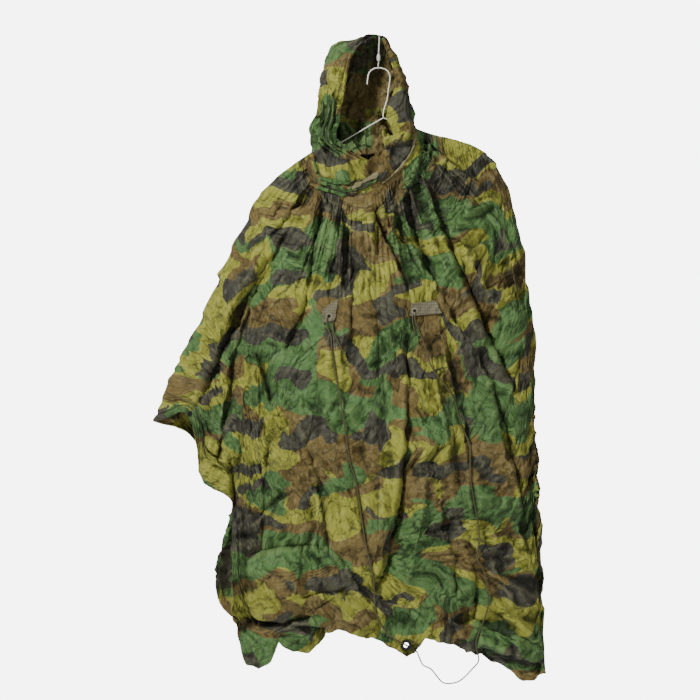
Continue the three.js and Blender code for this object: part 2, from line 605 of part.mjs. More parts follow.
// String: a loop round the hook's top, a knot, and a strand up to where the garment is held
const LOOP = { x: -3, z: -77.5, inner: WIRE_RADIUS + SEAM, outer: WIRE_RADIUS + SEAM + 1.8 };
const KNOT = [[0, -10], [2.6, -9], [4.4, -5], [4.8, 0], [4.2, 5], [2.6, 9], [0, 10]];
const loopProfile = [[LOOP.inner, -0.9], [LOOP.outer, -0.9], [LOOP.outer, 0.9], [LOOP.inner, 0.9]];
add('string_loop', turnedRing(loopProfile, 16).rotateY(Math.PI / 2).translate(LOOP.x, 0, LOOP.z), WHITE);
add('string_lower', tube([[LOOP.x, 0, LOOP.z + LOOP.outer + SEAM], [-2.6, 0, -68], [-2, 0, -63.3]],
  STRING_RADIUS, 3), WHITE);
add('string_knot', turnedSolid(KNOT, 12).translate(-2, 0, -53), WHITE);
add('string_upper', tube([[-2, 0, -42.7], [-1.4, 0, -28], [-0.6, 0, -14], [0, 0, 0]], STRING_RADIUS, 6), WHITE);

export default group;
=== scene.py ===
"""Hooded rain poncho in woodland camouflage, on a bent-wire hanger that hangs from a short string."""

import math

import bmesh
import bpy
import numpy as np
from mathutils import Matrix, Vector
from mathutils.kdtree import KDTree


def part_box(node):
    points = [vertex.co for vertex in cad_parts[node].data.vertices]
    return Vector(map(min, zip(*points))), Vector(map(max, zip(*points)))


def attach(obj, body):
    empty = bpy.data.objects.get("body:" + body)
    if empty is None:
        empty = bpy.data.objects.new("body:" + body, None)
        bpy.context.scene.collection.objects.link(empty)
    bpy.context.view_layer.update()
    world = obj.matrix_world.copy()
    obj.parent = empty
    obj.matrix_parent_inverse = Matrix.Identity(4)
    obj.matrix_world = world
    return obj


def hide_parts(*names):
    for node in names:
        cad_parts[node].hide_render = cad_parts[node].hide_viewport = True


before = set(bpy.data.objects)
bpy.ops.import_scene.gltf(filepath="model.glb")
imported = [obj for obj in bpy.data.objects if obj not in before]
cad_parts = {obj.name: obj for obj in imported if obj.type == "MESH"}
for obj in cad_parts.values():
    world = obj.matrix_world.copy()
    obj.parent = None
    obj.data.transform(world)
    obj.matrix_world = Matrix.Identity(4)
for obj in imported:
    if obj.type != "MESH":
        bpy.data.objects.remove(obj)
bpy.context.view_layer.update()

MM = 0.001

# Camera and studio
CAMERA_PLACE = (-0.072, -4.5, -0.768)
CAMERA_LENS = 94.6
SENSOR = 36
FAR_END = 50
FLOOR_LEVEL = -1.86
FLOOR_BACK = 1.15
FLOOR_SIDE = 3.0
FLOOR_WHITE = (0.93, 0.93, 0.93, 1)
FLOOR_SEEN = 2.8
SURROUND_WHITE = (1, 1, 1, 1)
SURROUND_SEEN = 6.5
SURROUND_GLOW = 0.25
MIDDLE = (-0.07, 0.0, -0.8)

# Lights: name, place, size in metres and power in watts
LIGHTS = (("key", (-2.3, -2.7, 1.5), 0.45, 173), ("fill", (2.2, -3.0, -0.2), 1.6, 10),
          ("front", (0.2, -4.3, -0.1), 1.2, 16), ("rear", (-0.9, 4.0, 0.9), 1.6, 130),
          ("top", (0.0, -0.4, 2.2), 1.6, 9))

# Colours of the dyed cloth and of the fittings, and of their painted shade and highlights, as sRGB
LIME = (145, 147, 58)
GREEN = (80, 114, 62)
BROWN = (110, 94, 52)
CHARCOAL = (68, 67, 56)
CREASE_SHADE = (30, 32, 16)
RIDGE_WEAR_AND_SHINE = (170, 168, 110)
PINCH_SHADE = (20, 22, 12)
HOLLOW_SHADE = (14, 16, 8)
THREAD_SHADE = (52, 54, 34)
INSIDE_FADE = (128, 122, 84)
TAPE_TAN = (141, 134, 95)
WEBBING_OLIVE = (126, 121, 96)
WEBBING_SHADE = (62, 60, 44)
EYELET_RING = (158, 154, 126)
EYELET_SHADE = (14, 14, 10)
CORD_OLIVE = (86, 81, 50)
SNAP_BLACK = (26, 26, 28)
WIRE_WHITE = (248, 246, 234)
STRING_WHITE = (234, 230, 218)
STRING_SHADE = (150, 144, 128)

# Print: each dye over the lime, the place, scale and flatness of its blotches, and how few there are
DYES = ((BROWN, (3.1, 7.7, 0), 6.2, 1.5, 0.485), (GREEN, (9.4, 2.2, 0), 5.4, 1.45, 0.541),
        (CHARCOAL, (5.8, 4.9, 0), 8.0, 1.55, 0.612))
FRAY_SCALE, FRAY_REACH = 210.0, (0.006, 0.006, 0.0)
LOBE_SCALE, LOBE_REACH = 13.0, (0.11, 0.075, 0.0)

# Creases in the cloth's material: scale of the facets and how far they tilt, wide and fine
WIDE_SCALE, WIDE_TILT = 44.0, 1.15
FINE_SCALE, FINE_TILT = 105.0, 1.0
SWIRL_SCALE, SWIRL_REACH = 3.2, (0.27, 0.24, 0.0)
FACET_STRETCH = (1.2, 0.56, 1.0)
RIPSTOP_PITCH = 0.0052
RIPSTOP_HEIGHT = 0.00006
STITCH_LENGTH = 0.0035
STITCH_HALF_WIDTH = 0.0006

# Threads of the other woven pieces
TAPE_PITCH = 0.0012
TAB_PITCHES = (0.0022, 0.0034)
BRAID_TWIST = 0.0016
STRING_TWIST = 0.0022

# Cords: the routes of the source, in metres
CORD_DIAMETER = 0.0035
CORD_SIDES = 10
CORD_STEP = 0.003
CORD_CLEAR = 0.0016
CORD_CORE, CORD_REACH = 0.003, 0.018
LONG_CORD = np.array([
    (-126, -87, -686), (-127, -87, -710), (-118, -88, -734), (-115, -90, -768), (-108, -92, -814),
    (-91, -96, -912), (-72, -100, -1034), (-58, -102, -1082), (-38, -113, -1210), (-29, -118, -1258),
    (-17, -120, -1306), (-12, -121, -1382), (-2, -121, -1416), (22, -124, -1446), (51, -124, -1465),
    (62, -107, -1473), (73, -90, -1481), (88, -84, -1492), (94, -92, -1505), (103, -96, -1522),
    (122, -98, -1532), (146, -98, -1560), (161, -98, -1566), (190, -98, -1560), (221, -97, -1531),
    (236, -97, -1510), (230, -99, -1466), (259, -92, -1380), (250, -92, -1301), (233, -90, -1267),
    (238, -89, -1210), (218, -89, -1082), (214, -82, -996), (194, -80, -946), (175, -84, -881),
    (124, -87, -808), (103, -86, -744), (84, -84.6, -697), (86, -84.6, -676)]) * MM
SHORT_CORD = np.array([(-112, -85, -697.8), (-113, -86, -712), (-111, -88, -727), (-101, -89, -746),
                       (-86, -89, -778)]) * MM
STUB_CORD = np.array([(78, -83.5, -686.8), (79, -84, -702), (85, -84, -730)]) * MM

# Body panels: one row for each ray of cloth, from the neck hole out to the edge, left ridge first
STATIONS = np.array([0, 0.3, 0.65, 1])
FRONT_RAYS = np.array([
    (-167, -284, -318, -447, -444, -706, -547, -942), (-161, -318, -298, -497, -402, -745, -463, -950),
    (-152, -345, -272, -550, -372, -816, -430, -1080), (-140, -364, -243, -600, -330, -876, -362, -1128),
    (-126, -376, -213, -648, -308, -962, -355, -1248), (-110, -384, -183, -696, -283, -1056, -344, -1442),
    (-92, -389, -149, -720, -228, -1104, -306, -1537), (-71, -391, -106, -732, -149, -1128, -168, -1493),
    (-48, -391, -60, -744, -72, -1128, -84, -1433), (-24, -386, -12, -744, -5, -1128, 0, -1454),
    (0, -372, 36, -732, 60, -1104, 72, -1500), (24, -353, 84, -708, 125, -1080, 134, -1459),
    (48, -331, 132, -672, 192, -1056, 235, -1507), (67, -307, 180, -624, 264, -1032, 324, -1560),
    (82, -286, 228, -564, 324, -984, 391, -1541), (89, -264, 269, -504, 353, -864, 386, -1272),
    (91, -245, 292, -430, 366, -720, 376, -1008), (91, -226, 278, -304, 364, -600, 379, -888)]) * MM
BACK_RAYS = np.array([
    (-167, -284, -318, -447, -444, -706, -547, -942), (-158, -272, -292, -545, -410, -800, -463, -984),
    (-141, -264, -252, -648, -352, -940, -362, -1150), (-119, -258, -211, -720, -318, -1080, -410, -1345),
    (-93, -254, -163, -744, -262, -1128, -362, -1434), (-64, -251, -96, -756, -156, -1140, -216, -1445),
    (-34, -250, -19, -756, -24, -1140, -36, -1421), (0, -248, 60, -732, 108, -1128, 144, -1440),
    (31, -244, 132, -684, 228, -1080, 288, -1488), (58, -240, 197, -612, 312, -1008, 379, -1488),
    (79, -233, 245, -516, 350, -840, 380, -1176), (91, -226, 278, -304, 364, -600, 379, -888)]) * MM

# One row for each fold: a path, its bow, its width, and its depth, negative where it stands out
FRONT_FOLDS = np.array([
    (-175, -379, -269, -504, 0, 12, 16), (-259, -528, -442, -912, -10, 17, 28),
    (-221, -437, -398, -739, -7, 22, -12), (-127, -391, -173, -631, -7, 12, 18),
    (-173, -631, -230, -773, 0, 12, 14), (-149, -398, -192, -600, 0, 12, -10),
    (-91, -398, -84, -648, 5, 11, 14), (-41, -398, 72, -640, 10, 10, 22),
    (-17, -398, 58, -620, 12, 12, -12), (-67, -413, -72, -797, 2, 12, 9),
    (67, -708, 62, -1044, 0, 12, 18), (62, -1000, -10, -1349, 14, 19, 42),
    (106, -1056, 43, -1368, 17, 24, -17), (10, -1099, -43, -1368, 12, 26, -13),
    (118, -346, 336, -886, -14, 15, 28), (149, -360, 317, -720, -19, 20, -14),
    (60, -422, 209, -746, -7, 12, 21), (82, -408, 216, -660, -10, 14, -12),
    (149, -720, 221, -1056, 10, 12, 16), (240, -756, 317, -1056, 5, 12, 15),
    (288, -888, 360, -1272, 7, 12, 15), (216, -1272, 226, -1428, 7, 12, 18),
    (264, -1272, 341, -1440, 5, 20, -12), (168, -1412, 386, -1484, 14, 11, 18),
    (150, -1448, 384, -1528, 12, 13, -14), (-307, -1186, -216, -1109, 5, 11, 12),
    (-336, -1272, -144, -1236, 10, 11, 11), (-341, -1415, -139, -1404, -14, 15, 30),
    (-192, -1363, -67, -1349, 5, 11, 13), (-120, -1236, -19, -1382, 7, 11, 11),
    (-283, -876, -336, -773, 0, 12, -9), (-355, -773, -398, -1056, 7, 12, 19),
    (-192, -936, -120, -1272, 10, 12, 10), (-264, -960, -283, -1272, -5, 12, 9),
    (144, -1128, 180, -1368, 7, 14, 13), (-300, -770, -262, -905, 6, 12, 17),
    (-362, -1020, -350, -1190, 0, 12, 20), (-214, -470, -330, -700, -8, 13, 14),
    (-20, -430, -8, -560, 3, 10, 12), (30, -420, 110, -600, -5, 11, 13),
    (-300, -640, -372, -860, -6, 13, 16), (196, -520, 262, -760, -6, 13, 15)]) * MM
BACK_FOLDS = np.array([
    (-150, -290, -300, -640, -8, 12, 20), (-120, -300, -240, -760, -10, 16, -14),
    (-90, -280, -150, -800, -8, 12, 18), (-50, -280, -70, -700, -4, 14, -12),
    (-20, -290, -10, -900, 6, 12, 16), (20, -280, 90, -760, 8, 14, -12),
    (45, -270, 180, -820, 10, 12, 20), (70, -260, 280, -700, 12, 16, -14),
    (85, -260, 330, -820, 14, 12, 20), (-230, -760, -300, -1280, -6, 14, 18),
    (-120, -860, -170, -1380, 6, 15, 22), (10, -960, 30, -1400, -6, 15, 26),
    (120, -860, 190, -1420, 8, 15, 18), (260, -880, 320, -1440, 6, 14, 18),
    (-330, -1240, -200, -1290, 8, 11, 11), (180, -1300, 330, -1350, 8, 11, 11)]) * MM

# A fold is steep on one side and gentle on the other, and a ridge is sharp
STEEP = 0.36
GENTLE = 1.2
SHARPNESS = 2.5 * MM
TOP_FOLD_GAIN, FOLD_GAIN = 1.12, 1.4

# How the panels hang: depth from the middle plane, the shoulders, and what gathers, drapes and sags
NECK_DEPTH = 75 * MM
FRONT_HEM_DEPTH = 112 * MM
BACK_HEM_DEPTH = 100 * MM
ROUNDNESS = 0.6
LEAST_DEPTH = 9 * MM
SHOULDERS = ((0, -14, 9), (1, -4, -1))
SHOULDER_WIDTH = 0.08
RIDGE_STILL = 0.06
RIDGE_SPREAD = 0.035
GATHER_DEPTH = 6.2 * MM
RUFFLE_DEPTH = 12 * MM
DRAPE_DEPTH, DRAPE_SPACING = 8.5 * MM, 0.030
SAG_DEPTH, SAG_SPACING = 5 * MM, 0.042

# Places on the front that stay flat under a tab or the grommet: x, z and radius in millimetres
FLAT_SPOTS = ((-122, -674, 44), (110, -668, 60), (62, -1474, 46))

# Crumples: spacing in metres, depth in millimetres and turn in degrees, then the long creases
CRUSH = ((0.050, 5.0, 20), (0.026, 4.0, 65), (0.0140, 1.9, 40))
CRUSH_STRETCH = 0.52
CRUSH_WARP = 0.5
CREASE_LINES = ((0.085, 3.0), (0.045, 2.2))
CREASE_STRETCH = 0.42

# Waves of the crumpled sleeve ridges, and the ragged front edge: spacing in metres, depth in millimetres
RIDGE_WAVES = ((0.052, 5.0), (0.026, 3.4))
RAGGED_EDGE = ((0.019, 3.2, 131), (0.008, 1.6, 132))

# Ledges: where the hem is rolled under, the cloth steps back below a line from one place to another
LEDGES = ((-358, -1419, -124, -1428, 3, 34), (196, -1478, 392, -1522, 8, 22))

# The front hem, seen from the front: two slack pouches, the corner that the cord pulls down, and the rise
HEM_LINE = np.array([
    (-348, -1438), (-336, -1490), (-318, -1522), (-290, -1534), (-262, -1520), (-250, -1482), (-242, -1462),
    (-230, -1486), (-205, -1502), (-168, -1497), (-142, -1470), (-128, -1440), (-84, -1436), (-19, -1452),
    (20, -1474), (48, -1493), (66, -1500), (84, -1493), (98, -1470), (108, -1457), (168, -1469),
    (240, -1505), (300, -1527), (322, -1545), (336, -1562), (370, -1560), (391, -1545)]) * MM
HEM_TOP = -1.40

# The sleeve's outer edge stands out above the cuff, whose front edge rises, so that its inside shows
SLEEVE_FULL = 16 * MM
SLEEVE_PLACE, SLEEVE_SPREAD, SLEEVE_WIDTH = 0.87, 0.085, 0.06
CUFF_RISE = 27 * MM
CUFF_PLACE = 0.058
CUFF_SPREAD = 0.030

# Hems: a turned edge, and a row of stitching that draws it in
HEM_WIDTH = 0.022
HEM_GAP = 0.0022
STITCH_INSET = 0.003
GROOVE_WIDTH = 3.2 * MM
HEM_GROOVE = 1.1 * MM
CUFF_GROOVE = 2.6 * MM
CUFF_END = 0.062
# How deep a hollow in the body must be to take its full painted shade
HOLLOW_DEPTH = 4.5 * MM

# Fittings on the front: the grommet's hole as x, z and radius, and how the cloth seats the snaps
GROMMET_HOLE = (0.062, -1.474, 0.008)
SNAPS = ("snap_cuff_left", "snap_side_left")
SNAP_SEAT = 0.0008
SNAP_REACH = 0.0085

# Hood: one row for each level of a half: its front rim, its widest place and the centre seam
# Columns are v, frontX, frontZ, frontY, sideX, sideZ, backX, backZ, backY
HOOD_LEFT = np.array([
    (0, -48, -391, -75, -167, -284, -34, -250, 75), (0.12, -28, -312, -84, -166, -244, -36, -208, 88),
    (0.25, -101, -270, -78, -157, -206, -34, -166, 100), (0.4, -99, -205, -62, -142, -166, -31, -120, 108),
    (0.6, -86, -138, -42, -128, -103, -26, -62, 100), (0.8, -72, -64, -18, -118, -50, -17, -22, 68),
    (0.92, -50, -30, -4, -96, -20, -9, -9, 38), (1, -10, -12, 5, -40, -10, -4, -4, 16)])
HOOD_RIGHT = np.array([
    (0, -48, -391, -75, 91, -226, -34, -250, 75), (0.12, -28, -312, -84, 79, -208, -36, -208, 88),
    (0.25, 31, -262, -76, 77, -180, -34, -166, 100), (0.4, 18, -200, -58, 73, -146, -31, -120, 108),
    (0.6, 40, -124, -38, 62, -104, -26, -62, 100), (0.8, 28, -60, -14, 40, -54, -17, -22, 68),
    (0.92, 16, -32, -2, 25, -26, -9, -9, 38), (1, 5, -12, 5, 14, -8, -4, -4, 16)])
THROAT = 0.12
NECK_BLEND = 0.14
CROWN_RISE = 13 * MM
CROWN_PLACE, CROWN_SPREAD = -0.022, 0.034
BACK_SAG = 34 * MM
FRONT_CENTRE = 32 / 68
BACK_CENTRE = 24 / 44
RIM_ROLL = 0.005
RIM_TURN = 0.024
TUCK = 0.012
HOOD_COLUMNS, HOOD_LEVELS = 220, 150
HOOD_CROWDING = 1.3
# How deep a hollow in the hood must be to take its full painted shade
HOOD_HOLLOW = 3 * MM
OUTER_CRUSH, INNER_CRUSH = 0.95, 1.6

# Pleats: places across and up the half, width across, and depth in millimetres
PLEAT_GAIN = 1.3
LEFT_PLEATS = ((0.028, 0.10, 0.034, 0.99, 0.010, 8), (0.052, 0.12, 0.056, 0.97, 0.014, -5),
               (0.080, 0.08, 0.086, 0.98, 0.013, 12), (0.115, 0.10, 0.110, 0.95, 0.018, -6),
               (0.150, 0.06, 0.156, 0.95, 0.016, 12), (0.200, 0.05, 0.205, 0.92, 0.022, -6),
               (0.265, 0.05, 0.275, 0.92, 0.022, 11), (0.350, 0.05, 0.350, 0.90, 0.028, -5),
               (0.440, 0.05, 0.430, 0.90, 0.026, 8), (0.580, 0.05, 0.620, 0.80, 0.050, -6),
               (0.740, 0.05, 0.720, 0.70, 0.045, 8))
RIGHT_PLEATS = ((0.10, 0.45, 0.12, 0.99, 0.024, 8), (0.20, 0.55, 0.22, 0.98, 0.026, -6),
                (0.30, 0.05, 0.32, 0.85, 0.030, 7), (0.42, 0.05, 0.40, 0.90, 0.035, -6),
                (0.58, 0.05, 0.62, 0.80, 0.045, 8), (0.74, 0.05, 0.72, 0.70, 0.045, -6))

# Throat: the rows of the rim that it joins, its grid, and the shelf behind it
THROAT_ROWS = (0.1, 0.275)
THROAT_COLUMNS, THROAT_LINES, SHELF_LINES = 110, 70, 44
SHELF_DEPTH = 0.115
THROAT_CRUSH = 2.3
THROAT_HEM, THROAT_ROLL = 0.012, 0.003
ARM_SEEN = -0.096
ARM_CLEAR = 0.004
ARM_CORE, ARM_REACH = 0.006, 0.016

# Ribbons on the cloth: step along them and points round them
RIBBON_STEP = 0.0022
RIBBON_SIDES = 20

# Waist tabs
TAB_COLUMNS, TAB_LINES = 64, 52
TAB_THICKNESS = 0.0018
TAB_FRAY = 0.0009
EYELET_RADIUS = 0.0062


# Camera
camera = bpy.data.objects.new("camera", bpy.data.cameras.new("camera"))
camera.location = CAMERA_PLACE
camera.rotation_euler = (math.pi / 2, 0, 0)
camera.data.lens = CAMERA_LENS
camera.data.sensor_width = SENSOR
camera.data.clip_end = FAR_END
bpy.context.collection.objects.link(camera)
bpy.context.scene.camera = camera


# Shapes by numbers: smooth steps, curves through rows, and meshes from grids
def smooth(a, b, v):
    """A soft step from 0 at a to 1 at b"""
    k = np.clip((v - a) / (b - a), 0, 1)
    return k * k * (3 - 2 * k)


def mix(a, b, k):
    """The value at a share k of the way from a to b"""
    return a + (b - a) * k


def pair(a, b):
    """Two fields of numbers side by side, as flat places"""
    return np.stack(np.broadcast_arrays(a, b), axis=-1)


def bell(v, middle, width):
    """A hump of height 1 round a middle"""
    return np.exp(-((v - middle) / width) ** 2)


def through(rows, places, at):
    """Values at places on a smooth curve through rows of numbers"""
    last = len(places) - 1
    i = np.clip(np.searchsorted(places, at, side="right") - 1, 0, last - 1)
    low = np.maximum(np.arange(last + 1) - 1, 0)
    high = np.minimum(np.arange(last + 1) + 1, last)
    slope = (rows[high] - rows[low]) / (places[high] - places[low])[:, None]
    span = (places[i + 1] - places[i])[:, None]
    k = ((at - places[i]) / (places[i + 1] - places[i]))[:, None]
    k2, k3 = k * k, k * k * k
    return ((2 * k3 - 3 * k2 + 1) * rows[i] + (k3 - 2 * k2 + k) * span * slope[i]
            + (3 * k2 - 2 * k3) * rows[i + 1] + (k3 - k2) * span * slope[i + 1])


def unit(vectors):
    """The same vectors at length 1"""
    return vectors / np.maximum(np.linalg.norm(vectors, axis=-1, keepdims=True), 1e-12)


def facing(grid, sign):
    """The way a grid of points faces, as unit vectors"""
    along = np.gradient(grid, axis=0)
    down = np.gradient(grid, axis=1)
    return unit(np.cross(along, down)) * sign


def add_mesh(name, points, faces, material):
    """Adds an object at the origin with its mesh and its material"""
    mesh = bpy.data.meshes.new(name)
    mesh.from_pydata(points, [], faces)
    mesh.materials.append(material)
    made = bpy.data.objects.new(name, mesh)
    bpy.context.collection.objects.link(made)
    return made


def add_piece(name, points, faces, spots, material):
    """Adds a smooth piece of the garment, with the flat place of each face corner as UV"""
    piece = add_mesh(name, points, faces, material)
    layer = piece.data.uv_layers.new(name="UVMap")
    layer.data.foreach_set("uv", np.ascontiguousarray(spots, float).ravel())
    piece.data.polygons.foreach_set("use_smooth", np.ones(len(faces), dtype=bool))
    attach(piece, "root")
    return piece


def vertex_places(piece):
    """The points of a piece's mesh as rows of x, y and z"""
    values = np.empty(3 * len(piece.data.vertices))
    piece.data.vertices.foreach_get("co", values)
    return values.reshape(-1, 3)


def grid_mesh(name, grid, uv, material, sign, marks, hole=None):
    """A piece of cloth from a grid of points, with its flat place as UV and its marks as attributes"""
    m, n = grid.shape[:2]
    index = np.arange(m * n).reshape(m, n)
    corners = [index[:-1, :-1], index[1:, :-1], index[1:, 1:], index[:-1, 1:]]
    if sign < 0:
        corners.reverse()
    faces = np.stack([c.ravel() for c in corners], axis=1)
    if hole:
        middle = grid.reshape(-1, 3)[faces].mean(axis=1)
        faces = faces[np.hypot(middle[:, 0] - hole[0], middle[:, 2] - hole[1]) > hole[2]]
    spots = uv.reshape(-1, 2)[faces.ravel()]
    piece = add_piece(name, grid.reshape(-1, 3).tolist(), faces.tolist(), spots, material)
    for label, values in marks.items():
        layer = piece.data.attributes.new(label, "FLOAT", "POINT")
        layer.data.foreach_set("value", np.ascontiguousarray(values.ravel()))
    return piece


def merge(piece):
    """Joins the points of a wrapped grid that meet, so that the piece is closed and faces outwards"""
    joined = bmesh.new()
    joined.from_mesh(piece.data)
    bmesh.ops.remove_doubles(joined, verts=joined.verts, dist=1e-6)
    bmesh.ops.recalc_face_normals(joined, faces=joined.faces)
    joined.to_mesh(piece.data)
    joined.free()


def evenly(points, step):
    """Points at even steps on a smooth curve through a route"""
    points = np.array(points, float)
    gaps = np.sqrt(np.linalg.norm(np.diff(points, axis=0), axis=1))
    places = np.concatenate([[0], np.cumsum(gaps)])
    fine = through(points, places, np.linspace(0, places[-1], 40 * len(points)))
    run = np.concatenate([[0], np.cumsum(np.linalg.norm(np.diff(fine, axis=0), axis=1))])
    count = max(2, int(run[-1] / step) + 1)
    at = np.linspace(0, run[-1], count)
    return np.stack([np.interp(at, run, fine[:, k]) for k in range(3)], axis=1), at


def tube(name, route, radius, sides, material):
    """A round cord along a route, with closed ends; UV is metres round it and along it"""
    line, run = evenly(route, CORD_STEP)
    ahead = unit(np.gradient(line, axis=0))
    side = unit(np.cross(ahead, np.broadcast_to((0.0, 1.0, 0.0), ahead.shape)))
    up = np.cross(side, ahead)
    angle = np.linspace(0, 2 * math.pi, sides + 1)
    ring = (np.cos(angle)[None, :, None] * side[:, None] + np.sin(angle)[None, :, None] * up[:, None])
    count = len(line)
    points = (line[:, None] + radius * ring[:, :-1]).reshape(-1, 3)
    points = np.concatenate([points, line[:1], line[-1:]])
    faces, spots = [], []
    for i in range(count - 1):
        for j in range(sides):
            k = (j + 1) % sides
            faces.append((i * sides + j, (i + 1) * sides + j, (i + 1) * sides + k, i * sides + k))
            spots += [(angle[j] * radius, run[i]), (angle[j] * radius, run[i + 1]),
                      (angle[j + 1] * radius, run[i + 1]), (angle[j + 1] * radius, run[i])]
    for j in range(sides):
        k = (j + 1) % sides
        faces.append((count * sides, j, k))
        faces.append((count * sides + 1, (count - 1) * sides + k, (count - 1) * sides + j))
        spots += [(angle[j] * radius, run[0])] * 3 + [(angle[j] * radius, run[-1])] * 3
    return add_piece(name, points.tolist(), faces, spots, material), line


# Materials: small helpers, then the effects that several materials share
def linear(colour):
    """An sRGB colour in the numbers that a shader takes"""
    parts = [c / 255 for c in colour]
    return tuple(c / 12.92 if c <= 0.04045 else ((c + 0.055) / 1.055) ** 2.4 for c in parts) + (1,)


def plug(tree, socket, value):
    """Links a socket to a node's output, or sets it to a plain value"""
    if isinstance(value, bpy.types.NodeSocket):
        tree.links.new(value, socket)
    else:
        socket.default_value = value


def put(tree, kind, sockets=None, **settings):
    """Adds a node, sets its options, and links or sets its sockets"""
    made = tree.nodes.new(kind)
    for key, value in settings.items():
        setattr(made, key, value)
    for key, value in (sockets or {}).items():
        plug(tree, made.inputs[key], value)
    return made


def sums(tree, operation, a, b=0.5, c=0.0, clamp=False):
    """The result of one Math node"""
    made = put(tree, "ShaderNodeMath", {0: a, 1: b, 2: c}, operation=operation, use_clamp=clamp)
    return made.outputs[0]


def arrows(tree, operation, a, b):
    """The result of one Vector Math node"""
    return put(tree, "ShaderNodeVectorMath", {0: a, 1: b}, operation=operation).outputs[0]


def noise(tree, place, scale, detail, kind="2D"):
    """The outputs of one Noise node: the first is a value and the second a colour"""
    return put(tree, "ShaderNodeTexNoise", {"Vector": place, "Scale": scale, "Detail": detail},
               noise_dimensions=kind).outputs


def blend_colour(tree, amount, a, b, kind="MIX"):
    """The colour between two colours, or their product"""
    return put(tree, "ShaderNodeMix", {0: amount, 6: a, 7: b}, data_type="RGBA", blend_type=kind).outputs[2]


def effect(name, inputs, outputs):
    """An empty shader node group; sockets that aren't a place or a colour are numbers"""
    tree = bpy.data.node_groups.new(name, "ShaderNodeTree")
    for way, labels in (("INPUT", inputs), ("OUTPUT", outputs)):
        for label in labels:
            kind = {"Place": "NodeSocketVector", "Color": "NodeSocketColor"}.get(label, "NodeSocketFloat")
            tree.interface.new_socket(label, in_out=way, socket_type=kind)
    return tree, tree.nodes.new("NodeGroupInput").outputs, tree.nodes.new("NodeGroupOutput").inputs


def use(tree, shared, sockets):
    """Places a shared effect with its own values, and gives its outputs"""
    return put(tree, "ShaderNodeGroup", sockets, node_tree=shared).outputs


def blotches(tree, place, move, scale, stretch, limit):
    """One dye of the pattern: lobed blotches, wider than tall, as a mask of 0 or 1"""
    moved = put(tree, "ShaderNodeMapping", {"Vector": place, "Location": move,
                                            "Scale": (scale, scale * stretch, 1)})
    cloud = put(tree, "ShaderNodeTexNoise", {"Vector": moved.outputs[0], "Scale": 1.0, "Detail": 1.3,
                                             "Roughness": 0.42, "Distortion": 0.12}, noise_dimensions="2D")
    return sums(tree, "GREATER_THAN", cloud.outputs[0], limit)


def make_woodland():
    """Woodland print: three dyes over lime, with lobed blotches and slightly frayed edges"""
    tree, given, result = effect("woodland_print", ["Place"], ["Color"])
    fray = noise(tree, given["Place"], FRAY_SCALE, 1.0)
    centred = arrows(tree, "SUBTRACT", fray[1], (0.5, 0.5, 0.5))
    place = arrows(tree, "ADD", given["Place"], arrows(tree, "MULTIPLY", centred, FRAY_REACH))
    lobes = noise(tree, given["Place"], LOBE_SCALE, 0.6)
    place = arrows(tree, "ADD", place, arrows(tree, "MULTIPLY", lobes[1], LOBE_REACH))
    colour = linear(LIME)
    for dye, move, scale, stretch, limit in DYES:
        mask = blotches(tree, place, move, scale, stretch, limit)
        colour = blend_colour(tree, mask, colour, linear(dye))
    tree.links.new(colour, result["Color"])
    return tree


def make_fading():
    """Uneven dye and soft dirt: lightens and darkens a colour in clouds and specks"""
    tree, given, result = effect("uneven_dye", ["Place", "Color", "Strength"], ["Color"])
    wide = noise(tree, given["Place"], 9.0, 3.0)
    fine = noise(tree, given["Place"], 320.0, 2.0)
    both = sums(tree, "ADD", sums(tree, "MULTIPLY", wide[0], 0.55),
                sums(tree, "MULTIPLY", fine[0], 0.45))
    shade = sums(tree, "MULTIPLY_ADD", sums(tree, "SUBTRACT", both, 0.5),
                 sums(tree, "MULTIPLY", given["Strength"], 0.9), 1.0)
    grey = put(tree, "ShaderNodeCombineColor", {0: shade, 1: shade, 2: shade})
    tree.links.new(blend_colour(tree, 1.0, given["Color"], grey.outputs[0], "MULTIPLY"), result["Color"])
    return tree


def make_crumple():
    """Height of small crushed facets, each tilted its own way, and a mask of the creases between them, which
    the cloth uses for painted shade
    """
    tree, given, result = effect("crushed_facets", ["Place", "Scale", "Tilt"], ["Height", "Crease"])
    bend = noise(tree, given["Place"], given["Scale"], 1.0)
    reach = sums(tree, "DIVIDE", 0.45, given["Scale"])
    pull = put(tree, "ShaderNodeVectorMath", {0: bend[1], 3: reach}, operation="SCALE").outputs[0]
    near = arrows(tree, "ADD", given["Place"], pull)
    swirl = noise(tree, given["Place"], SWIRL_SCALE, 1.0)
    led = arrows(tree, "ADD", near, arrows(tree, "MULTIPLY", swirl[1], SWIRL_REACH))
    warped = arrows(tree, "MULTIPLY", led, FACET_STRETCH)
    cells = {"Vector": warped, "Scale": given["Scale"]}
    cell = put(tree, "ShaderNodeTexVoronoi", cells, voronoi_dimensions="2D", feature="F1")
    offset = arrows(tree, "SUBTRACT", warped, cell.outputs["Position"])
    lean = arrows(tree, "SUBTRACT", cell.outputs["Color"], (0.5, 0.5, 0.5))
    rise = put(tree, "ShaderNodeVectorMath", {0: offset, 1: lean}, operation="DOT_PRODUCT").outputs["Value"]
    tree.links.new(sums(tree, "MULTIPLY", rise, given["Tilt"]), result["Height"])
    rim = put(tree, "ShaderNodeTexVoronoi", cells, voronoi_dimensions="2D", feature="DISTANCE_TO_EDGE")
    line = sums(tree, "SUBTRACT", 1.0, sums(tree, "MULTIPLY", rim.outputs["Distance"], 12.0), clamp=True)
    broken = noise(tree, given["Place"], 34.0, 1.0)
    shown = sums(tree, "MULTIPLY_ADD", broken[0], 5.0, -2.0, clamp=True)
    tree.links.new(sums(tree, "MULTIPLY", line, shown), result["Crease"])
    return tree


